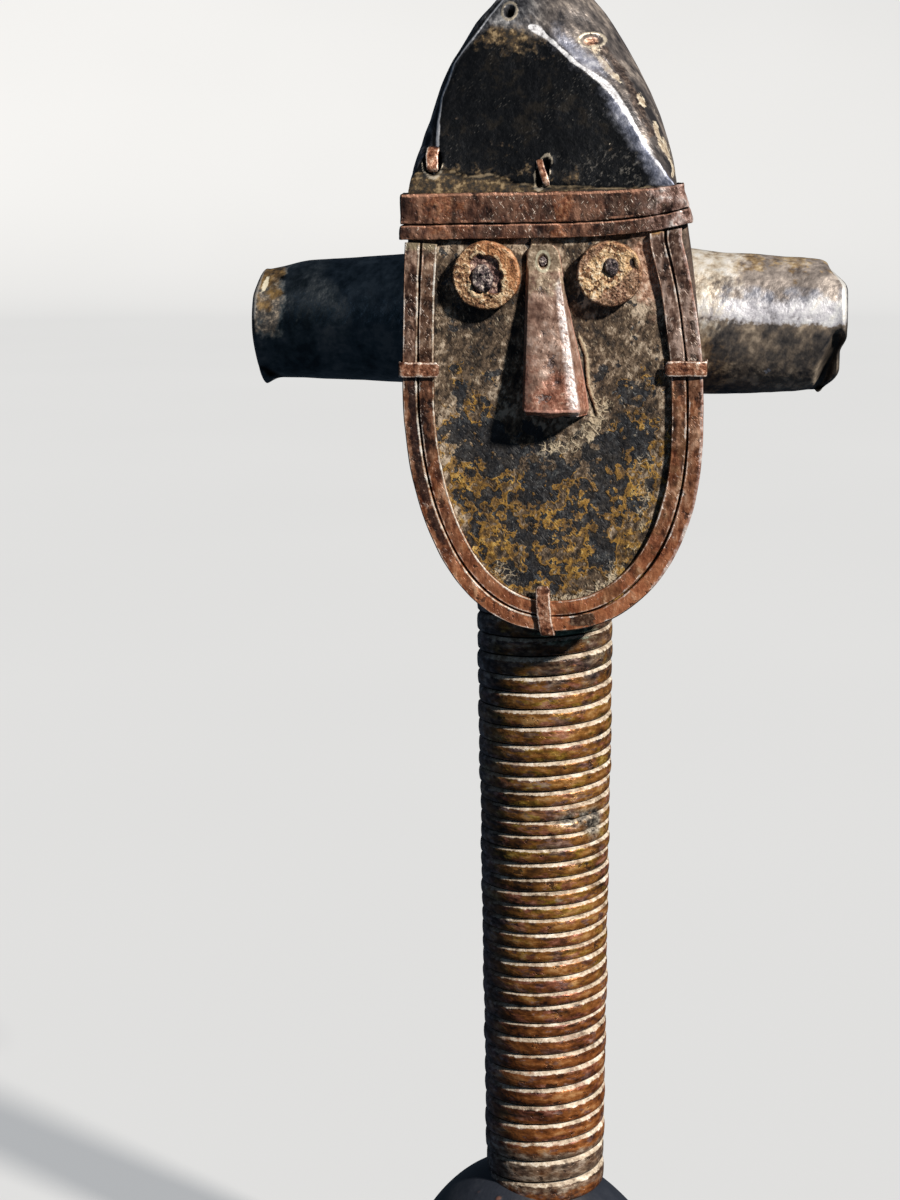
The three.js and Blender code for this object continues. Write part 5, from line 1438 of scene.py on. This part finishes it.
# %% Copper strips and staples
def strip_finish():
    """Redder below, browner above, with dark blotches, pale curls, edges painted bright as rubbed
    metal and as highlight, and painted shade on the outer rim and the sides.
    """
    f = Finish("rubbed_copper_strip")
    fine, small = f.mottle(0.9, 1.8), f.mottle(2.2, 5, shift=12)
    streak = 1.1 * f.mottle(2.6, 6, 14, stretch=(0.8, 1, 1.6)) + 0.25 * fine - 0.17
    upper, left, low = f.mask("upper"), f.mask("left"), f.height().rise(335, 290)
    f.base(streak, (44, 26, 20), (110, 72, 52), (150, 106, 80), (200, 158, 130))
    even = streak * (1 - 0.5 * low) + 0.27 * low
    f.lay(low * (1 - 0.3 * left), even, (88, 44, 28), (158, 94, 62), (192, 126, 88), (240, 192, 156))
    orange = f.mottle(9, 14, shift=26).rise(0.5, 0.9) * (1 - upper)
    f.lay(orange * 0.5, streak, (120, 62, 36), (166, 98, 60), (190, 122, 78), (226, 172, 128))
    olive = f.mask("inner_one") * (1 - left) * (1 - upper) * f.mottle(5, 10, shift=48).rise(0.3, 0.7)
    f.lay(olive * 0.6, streak, (62, 42, 28), (106, 74, 50), (132, 98, 68), (176, 144, 112))
    f.lay(upper * left * 0.85, streak, (46, 29, 21), (94, 68, 53), (130, 103, 85), (190, 164, 142))
    f.lay(upper * (1 - left) * 0.9, streak, (26, 18, 18), (84, 62, 53), (122, 98, 86), (190, 166, 154))
    outer_left = upper * left * (1 - f.mask("inner_one"))
    f.lay(outer_left * 0.7, streak, (30, 18, 15), (72, 48, 39), (112, 82, 68), (180, 148, 130))
    shade = (f.mask("shade") + 0.9 * (f.mottle(3, 7, shift=58) - 0.5)).rise(0.3, 0.75)
    f.lay(shade * 0.9, small * 0.6 + fine * 0.4, (18, 14, 18), (34, 22, 23), (60, 38, 32), (118, 78, 60))
    curls = f.strokes(1.1, 2.4, 0.5, 0.3, 33).most(f.strokes(1.3, 2.0, -0.7, 0.28, 81))
    curls = curls * small.rise(0.4, 0.7)
    f.lay(curls * (0.15 + 0.6 * upper), fine, (140, 116, 102), (180, 158, 142), (206, 186, 172),
          (236, 220, 208))
    blotch = (f.mottle(2.6, 6, shift=70) + 0.2 * (fine - 0.5) - 0.14 * low).rise(0.74, 0.88)
    f.tint(blotch * 0.7, (34, 23, 21))
    scab = (f.mask("scab") + 0.5 * (small - 0.5) + 0.4 * (fine - 0.5)).rise(0.3, 0.6)
    f.lay(scab * 0.9, fine, (20, 16, 15), (46, 36, 30), (76, 60, 48), (130, 108, 88))
    f.tint((f.mask("pits") * 3.0).rise(0.3, 0.8) * 0.6, (34, 22, 20))
    ragged = 0.4 * (fine - 0.5) + 0.5 * (small - 0.5)
    f.tint((f.mask("pale_top") + ragged).rise(0.3, 0.8) * 0.8, (168, 154, 124))
    f.tint((f.mask("ochre_tip") + ragged).rise(0.3, 0.7) * 0.9, (196, 152, 98))
    # painted shade on the strip's sides and underside
    f.tint(f.mask("grime") * 0.85, (22, 16, 16))
    # Edges painted bright, partly as rubbed metal and partly as highlight.
    edge = (f.mask("edge") + ragged).rise(0.25, 0.65)
    f.lay(edge * 0.8, small, (176, 128, 102), (214, 176, 152), (236, 212, 194), (255, 246, 238))
    # painted highlight on the outer strip's rim
    rim = (f.mask("bright_rim") + 0.7 * ragged).rise(0.3, 0.7)
    f.lay(rim * 0.85, small, (146, 100, 84), (196, 156, 142), (226, 198, 188), (252, 238, 230))
    # A painted highlight on the inner edges of the left-hand strips, whose inner sides face the light.
    pale = (f.mask("inner_edge") * left + ragged).rise(0.5, 0.9)
    f.lay(pale * 0.7, small, (184, 160, 132), (220, 204, 180), (238, 228, 212), (255, 252, 244))
    # painted shade on the outer strip's rim, on the left and low down
    f.tint((f.mask("dark_rim") + 0.3 * ragged).rise(0.3, 0.7) * 0.9, (24, 20, 22))
    relief = fine * 0.06 + streak * 0.35 - blotch * 0.2 + curls * 0.1
    return f.close(0.36 + 0.16 * fine, 0.3, relief, 0.5)


def staple_finish():
    """Copper that is dark at its ends, with painted shade on the faces turned from the front and
    edges painted bright as rubbed metal and as highlight.
    """
    f = Finish("copper_staple")
    fine, small = f.mottle(0.9, 1.8), f.mottle(1.8, 4, shift=4)
    f.base(small * 0.9 + fine * 0.3 - 0.1, (72, 39, 28), (134, 84, 60), (182, 130, 102), (238, 202, 176))
    f.tint(f.mask("ends") * 0.5, (52, 34, 29))
    # painted shade on the faces turned away from the front
    f.tint(f.mask("grime") * 0.7, (30, 21, 19))
    # Edges painted bright, partly as rubbed metal and partly as highlight.
    edge = (f.mask("edge") + 0.5 * (fine - 0.5) + 0.3 * (small - 0.5)).rise(0.4, 0.8)
    f.lay(edge * 0.8, small, (196, 158, 134), (232, 206, 188), (246, 230, 216), (255, 250, 244))
    return f.close(0.36 + 0.2 * fine, 0.35, fine * 0.3 + small * 0.5, 0.4)


strips_copper, staples_copper = strip_finish(), staple_finish()
for strip in (strip_outer, strip_inner):
    strip.data.materials.append(strips_copper)
for staple in (clip_left, clip_right, clip_chin, staple_left, staple_front):
    staple.data.materials.append(staples_copper)


# %% Nose copper
def nose_finish():
    """Mauve copper, redder towards the tip, with a khaki tab and a painted highlight along the fold."""
    f = Finish("mauve_nose_copper")
    fine, small = f.mottle(0.9, 1.8), f.mottle(2.4, 5, shift=21)
    f.base(f.mottle(2.2, 5, 11), (104, 76, 64), (142, 111, 96), (164, 134, 118), (196, 170, 156))
    red = (f.mask("share").rise(0.45, 0.95) * 0.8 + f.mottle(4, 9, shift=41) * 0.6 - 0.5).rise(0.1, 0.6)
    f.lay(red * 0.75, fine, (104, 54, 40), (146, 88, 66), (168, 108, 86), (206, 160, 136))
    marks = f.strokes(2.0, 1.5, 0.5, 0.3, 33) * small.rise(0.4, 0.75)
    f.tint(marks * 0.6, (66, 46, 40))
    tab = (f.mask("tab") + 0.5 * (small - 0.5) + 0.2 * (fine - 0.5)).rise(0.3, 0.8)
    f.lay(tab, fine * 0.6 + small * 0.4, (86, 66, 50), (146, 126, 104), (180, 159, 135), (224, 206, 182))
    pit = (f.mask("pit") + 0.7 * (fine - 0.5)).rise(0.3, 0.65)
    f.lay(pit * 0.9, fine, (26, 20, 23), (62, 51, 52), (96, 82, 82), (150, 134, 130))
    f.tint((f.mask("hole_rim") + 0.4 * (fine - 0.5)).rise(0.3, 0.8), (204, 196, 170))
    f.lay(f.mask("hole"), small, (48, 30, 22), (84, 56, 42), (108, 78, 60), (140, 110, 88))
    # A painted highlight along the right-hand fold.
    fold = (f.mask("fold") + 0.1 * (fine - 0.5) + 0.2 * (small - 0.5)).rise(0.15, 0.95)
    f.lay(fold * 0.8, fine, (176, 150, 142), (214, 200, 196), (232, 222, 220), (250, 246, 246))
    edge = (f.mask("edge") + 0.5 * (fine - 0.5) + 0.4 * (small - 0.5)).rise(0.4, 0.9)
    f.tint(edge * 0.7, (222, 168, 150))
    relief = fine * 0.1 + small * 0.45 - pit * 0.5 - marks * 0.2
    return f.close(0.36 + 0.18 * fine, 0.25, relief, 0.5, coat=0.1)


nose.data.materials.append(nose_finish())


# %% Corroded discs and iron
def disc_finish(which):
    """Copper under a coarse pale crust. The left one has a smooth part, the right one a brown side."""
    f = Finish(f"crusted_eye_copper_{which}")
    fine, small = f.mottle(0.7, 1.4), f.mottle(1.8, 3.6, shift=6)
    ragged = 0.4 * (fine - 0.5) + 0.6 * (small - 0.5)
    if which == "left":
        f.base(small * 0.5 + fine * 0.5, (84, 48, 27), (154, 100, 60), (194, 138, 92), (236, 194, 150))
        crust = ((1 - f.mask("smooth")) + ragged).rise(0.4, 0.8)
        f.lay(crust, fine * 0.7 + small * 0.5 - 0.1, (56, 33, 24), (138, 96, 64), (200, 160, 118),
              (248, 224, 192))
        lip = (f.mask("lip") + 1.2 * ragged).rise(0.5, 0.8)
        f.tint(lip * 0.7, (230, 206, 168))
        crater = (f.mask("crater") + 0.5 * ragged).rise(0.4, 0.6)
        f.lay(crater, fine * 0.5 + small * 0.5, (46, 31, 32), (98, 70, 66), (152, 120, 110),
              (234, 210, 184))
    else:
        f.base(fine, (70, 43, 29), (128, 88, 58), (164, 120, 84), (212, 172, 132))
        crust = (f.mottle(1.8, 4, shift=6) + 0.3 * (fine - 0.5)).rise(0.32, 0.56)
        f.lay(crust, small * 0.4 + fine * 0.6, (138, 98, 60), (210, 170, 122), (242, 210, 168),
              (255, 246, 224))
        brown = (f.mask("right_side") + ragged).rise(0.25, 0.7)
        f.lay(brown * 0.85, fine, (58, 34, 26), (110, 74, 54), (148, 106, 82), (204, 170, 144))
        f.tint((f.mask("lip") + 0.6 * ragged).rise(0.45, 0.7), (48, 34, 30))
        f.tint((f.mask("crater") + 0.5 * ragged).rise(0.5, 0.9) * 0.7, (84, 58, 44))
    rim = (f.mask("rim") + ragged).rise(0.4, 0.9)
    f.lay(rim * 0.75, small, (104, 60, 34), (160, 104, 66), (192, 134, 92), (236, 196, 156))
    side = (1 - f.mask("front")) * (1 - f.mask("rim"))
    f.lay(side * 0.8, small, (48, 28, 20), (88, 54, 38), (120, 80, 58), (170, 130, 100))
    return f.close(0.55 + 0.2 * fine, 0.12, fine * 0.5 + small * 0.5, 0.6)


def iron_finish():
    """Rusted iron, from near black to pale."""
    f = Finish("dark_iron_nail")
    fine = f.mottle(0.5, 1.1)
    f.base(f.mottle(0.8, 2.0), (26, 20, 24), (76, 64, 68), (134, 118, 116), (226, 212, 198))
    return f.close(0.45 + 0.2 * fine, 0.25, fine * 0.5 + f.mottle(1.5, shift=3) * 0.5, 0.6)


iron = iron_finish()
for piece in bpy.context.scene.objects:
    if piece.name.startswith("eye_crust"):
        piece.data.materials.append(disc_finish(piece.name.rsplit("_", 1)[1]))
    if piece.name.startswith("nail_"):
        piece.data.materials.append(iron)


# %% [markdown]
# The winding is brass that has gone golden-brown, redder towards the foot. Pale dust lies on
# each turn's upper ledge. Shade is painted into the grooves and under each lip, a highlight across
# the middle of each turn, and blue-grey shade on the left flank.


# %% Winding brass and foot wood
def winding_finish():
    """Golden brown in patches, pale on the ledge of each turn, with a painted highlight across
    each turn's middle, painted shade in the grooves and under each lip, and painted blue-grey
    shade on the left flank.
    """
    f = Finish("wound_brass_strip")
    fine, grain = f.mottle(0.8, 1.6), f.mottle(1.4, 3, stretch=(1.9, 1.9, 0.9), shift=13)
    patch = f.mottle(2.6, 6, 14, stretch=(1.9, 1.9, 0.9), shift=53)
    up = f.height()
    # The middle mask paints a highlight across each turn.
    tone = 0.6 * patch + 0.3 * grain + 0.08 * fine + 0.22 * f.mask("middle") - 0.07
    f.base(tone, (38, 25, 18), (110, 70, 32), (164, 110, 52), (214, 166, 108))
    russet = up.rise(190, 120)
    f.lay(russet, tone, (42, 24, 16), (120, 68, 32), (170, 104, 54), (218, 162, 108))
    olive = f.mottle(3, 7, stretch=(2.6, 2.6, 0.9), shift=88).rise(0.56, 0.85) * up.rise(120, 190)
    f.lay(olive * 0.75, grain, (66, 52, 20), (124, 96, 32), (164, 130, 46), (208, 176, 92))
    red = f.mottle(2.6, 6, stretch=(2.4, 2.4, 0.9), shift=61).rise(0.62, 0.8)
    f.lay(red * 0.7, grain, (76, 44, 36), (126, 74, 58), (158, 96, 78), (200, 142, 122))
    violet = f.mottle(2.4, 5, stretch=(2.4, 2.4, 0.9), shift=27).rise(0.68, 0.84)
    f.lay(violet * 0.6, grain, (50, 40, 44), (92, 74, 78), (128, 104, 104), (178, 156, 150))
    near_ends = up.rise(240, 268) * 0.6 + up.rise(100, 84) * 0.4
    grey = (near_ends + 0.7 * (f.mottle(6, shift=19) - 0.5)).rise(0.25, 0.7)
    f.lay(grey * 0.75, grain, (26, 22, 23), (62, 54, 52), (96, 84, 76), (150, 134, 118))
    worn_low = (up.rise(95, 89) * up.rise(74, 80) + 0.6 * (grain - 0.5)).rise(0.35, 0.85)
    f.lay(worn_low * 0.7, grain, (66, 54, 44), (116, 98, 82), (150, 132, 112), (202, 186, 166))
    # Painted shade: the shaded left flank is painted blue-grey.
    shade_side_blue = (1 - f.mask("dusty")) * 0.6
    f.lay(shade_side_blue, grain, (36, 39, 48), (72, 76, 88), (110, 114, 126), (164, 168, 178))
    stain = f.mottle(1.6, 3.6, stretch=(1.7, 1.7, 0.9), shift=29) + 0.2 * (fine - 0.5)
    stain = stain.rise(0.8, 0.94)
    f.tint(stain * 0.75, (38, 28, 25))
    green = (f.mask("verdigris") + 0.6 * (grain - 0.5)).rise(0.25, 0.8)
    f.lay(green * 0.85, grain, (24, 42, 38), (62, 92, 78), (108, 136, 116), (176, 194, 172))
    ragged = 0.4 * (grain - 0.5) + 0.2 * (fine - 0.5)
    ledge = (f.mask("ledge") + ragged).rise(0.4, 0.65)
    faded = f.mottle(3, 7, shift=47).rise(0.1, 0.45)
    # The pale ledge is dimmed on the shaded left flank, as painted shade.
    pale = ledge * f.mask("dusty") * (0.45 + 0.5 * faded)
    f.lay(pale, 0.6 * grain + 0.4 * fine, (104, 86, 70), (178, 160, 138), (216, 201, 180),
          (246, 238, 225))
    f.lay(f.mask("torn"), 0.5 * grain + 0.5 * fine, (22, 21, 22), (84, 78, 72), (148, 138, 124),
          (206, 196, 182))
    f.tint(f.mask("splice") * 0.9, (30, 24, 20))
    # Painted shade in the groove and under each lip.
    groove = (f.mask("groove") + 0.4 * ragged).rise(0.5, 0.75)
    dark = groove.most((f.mask("under") + ragged).rise(0.45, 0.85))
    f.tint(dark, (14, 12, 12))
    relief = fine * 0.08 + grain * 0.25 + patch * 0.35 - stain * 0.25
    return f.close(0.3 + 0.16 * fine + 0.3 * ledge, 0.45 - 0.4 * ledge, relief, 0.45)


def foot_finish():
    """Dark smooth wood with worn places, a crack and drops of resin."""
    f = Finish("dark_waxed_wood")
    grain = f.clouds(1.2, 4, 0.6, stretch=(1, 1, 9))
    cloud = f.clouds(20, 3)
    f.colour = f.ramp(cloud + 0.3 * (grain - 0.5), (0.3, (0.014, 0.017, 0.026)),
                      (0.6, (0.03, 0.034, 0.046)), (0.8, (0.055, 0.058, 0.07)))
    worn = f.clouds(3, 4, 0.7, shift=5).rise(0.64, 0.74)
    f.cover(worn * 0.3, (0.1, 0.1, 0.11))
    rough = f.clouds(1.6, 4, 0.7, shift=9)
    f.cover(f.mask("cracked") * 0.75, f.ramp(rough, (0.3, (0.04, 0.036, 0.035)), (0.7, (0.2, 0.18, 0.17))))
    f.cover(f.mask("crack") * 0.9, (0.01, 0.009, 0.009))
    gum = f.clouds(2, 3, shift=2)
    f.cover(f.mask("resin").rise(0.08, 0.5),
            f.ramp(gum, (0.3, (0.045, 0.022, 0.017)), (0.7, (0.16, 0.075, 0.055))))
    return f.close(0.38 + 0.12 * grain, 0.0, grain, 0.12, coat=0.2)


neck.data.materials.append(winding_finish())
foot.data.materials.append(foot_finish())

# %% [markdown]
# ## The studio
# A round plain floor bends up into a wall on every side, and the light is soft. The photograph's
# light comes from the upper right, in front, so the main lamp stands there; a wide weak one
# opens the shadows from the left. Only the camera sees the floor: it throws no light back, so
# the figure's own shadows stay as deep as in the photograph.


# %% Floor and light
def aim(way):
    """Turns a lamp, which shines down its own -Z, along a direction."""
    return (math.atan2(math.hypot(way[0], way[1]), -way[2]), 0, math.atan2(way[0], -way[1]) + math.pi)


def make_lamp(name, kind, place, way, power, colour, size):
    """A sun of an angular size, or a round lamp of a width in metres, that shines along a way."""
    lamp = bpy.data.lights.new(name, kind)
    lamp.energy, lamp.color = power, colour
    if kind == "SUN":
        lamp.angle = size
    else:
        lamp.shape, lamp.size = "DISK", size
    stand = bpy.data.objects.new(name, lamp)
    stand.location, stand.rotation_euler = place, aim(way)
    bpy.context.scene.collection.objects.link(stand)


def make_studio_sweep():
    """A round pale floor that bends up into a wall far away on every side: one profile, flat,
    then a quarter circle, then upright, turned round the middle. It glows a little, so that it
    is as pale behind the figure as in front, and only the camera sees it."""
    bend = np.linspace(0, np.pi / 2, 24)
    radius = np.concatenate([[0.01], 5 + 1.5 * np.sin(bend), [6.5]])[:, None]
    z = np.concatenate([[0], 1.5 * (1 - np.cos(bend)), [9]])[:, None]
    turn = np.linspace(0, 2 * np.pi, 96, endpoint=False)[None]
    points = np.stack([radius * np.cos(turn), radius * np.sin(turn), z + 0 * turn], axis=-1)
    number = np.arange(radius.size * 96).reshape(-1, 96)
    near, far = number[:-1], number[1:]
    quads = np.stack([near, far, np.roll(far, -1, axis=1), np.roll(near, -1, axis=1)], axis=-1)
    mesh = bpy.data.meshes.new("studio_sweep")
    mesh.from_pydata(points.reshape(-1, 3).tolist(), [], quads.reshape(-1, 4).tolist())
    mesh.shade_smooth()
    sweep = bpy.data.objects.new("studio_sweep", mesh)
    bpy.context.scene.collection.objects.link(sweep)
    f = Finish("pale_paper")
    f.colour = f.ramp(f.clouds(900, 2), (0.3, (0.3, 0.3, 0.298)), (0.7, (0.32, 0.32, 0.318)))
    paper = f.close(0.9, 0.0)
    shader = paper.node_tree.nodes["Principled BSDF"]
    shader.inputs["Emission Color"].default_value = (0.97, 0.985, 1.0, 1)
    shader.inputs["Emission Strength"].default_value = 0.45
    mesh.materials.append(paper)
    sweep.visible_diffuse = sweep.visible_glossy = sweep.visible_shadow = False


make_studio_sweep()
SIDEWAYS, UPWARDS = math.radians(52), math.radians(35)
from_key = np.array([math.sin(SIDEWAYS) * math.cos(UPWARDS), -math.cos(SIDEWAYS) * math.cos(UPWARDS),
                     math.sin(UPWARDS)])
make_lamp("key", "SUN", 1.7 * from_key, -from_key, 5.2, (1.0, 0.95, 0.88), math.radians(4.0))
fill_place = np.array([-1.5, -1.4, 0.9])
make_lamp("fill", "AREA", fill_place, np.array([0, 0, 0.36]) - fill_place, 1.1, (0.5, 0.72, 1.0), 1.6)
world = bpy.data.worlds.new("studio")
world.use_nodes = True
world.node_tree.nodes["Background"].inputs["Color"].default_value = (0.52, 0.72, 1.0, 1)
world.node_tree.nodes["Background"].inputs["Strength"].default_value = 0.06
bpy.context.scene.world = world
bpy.context.scene.view_settings.view_transform = "Standard"
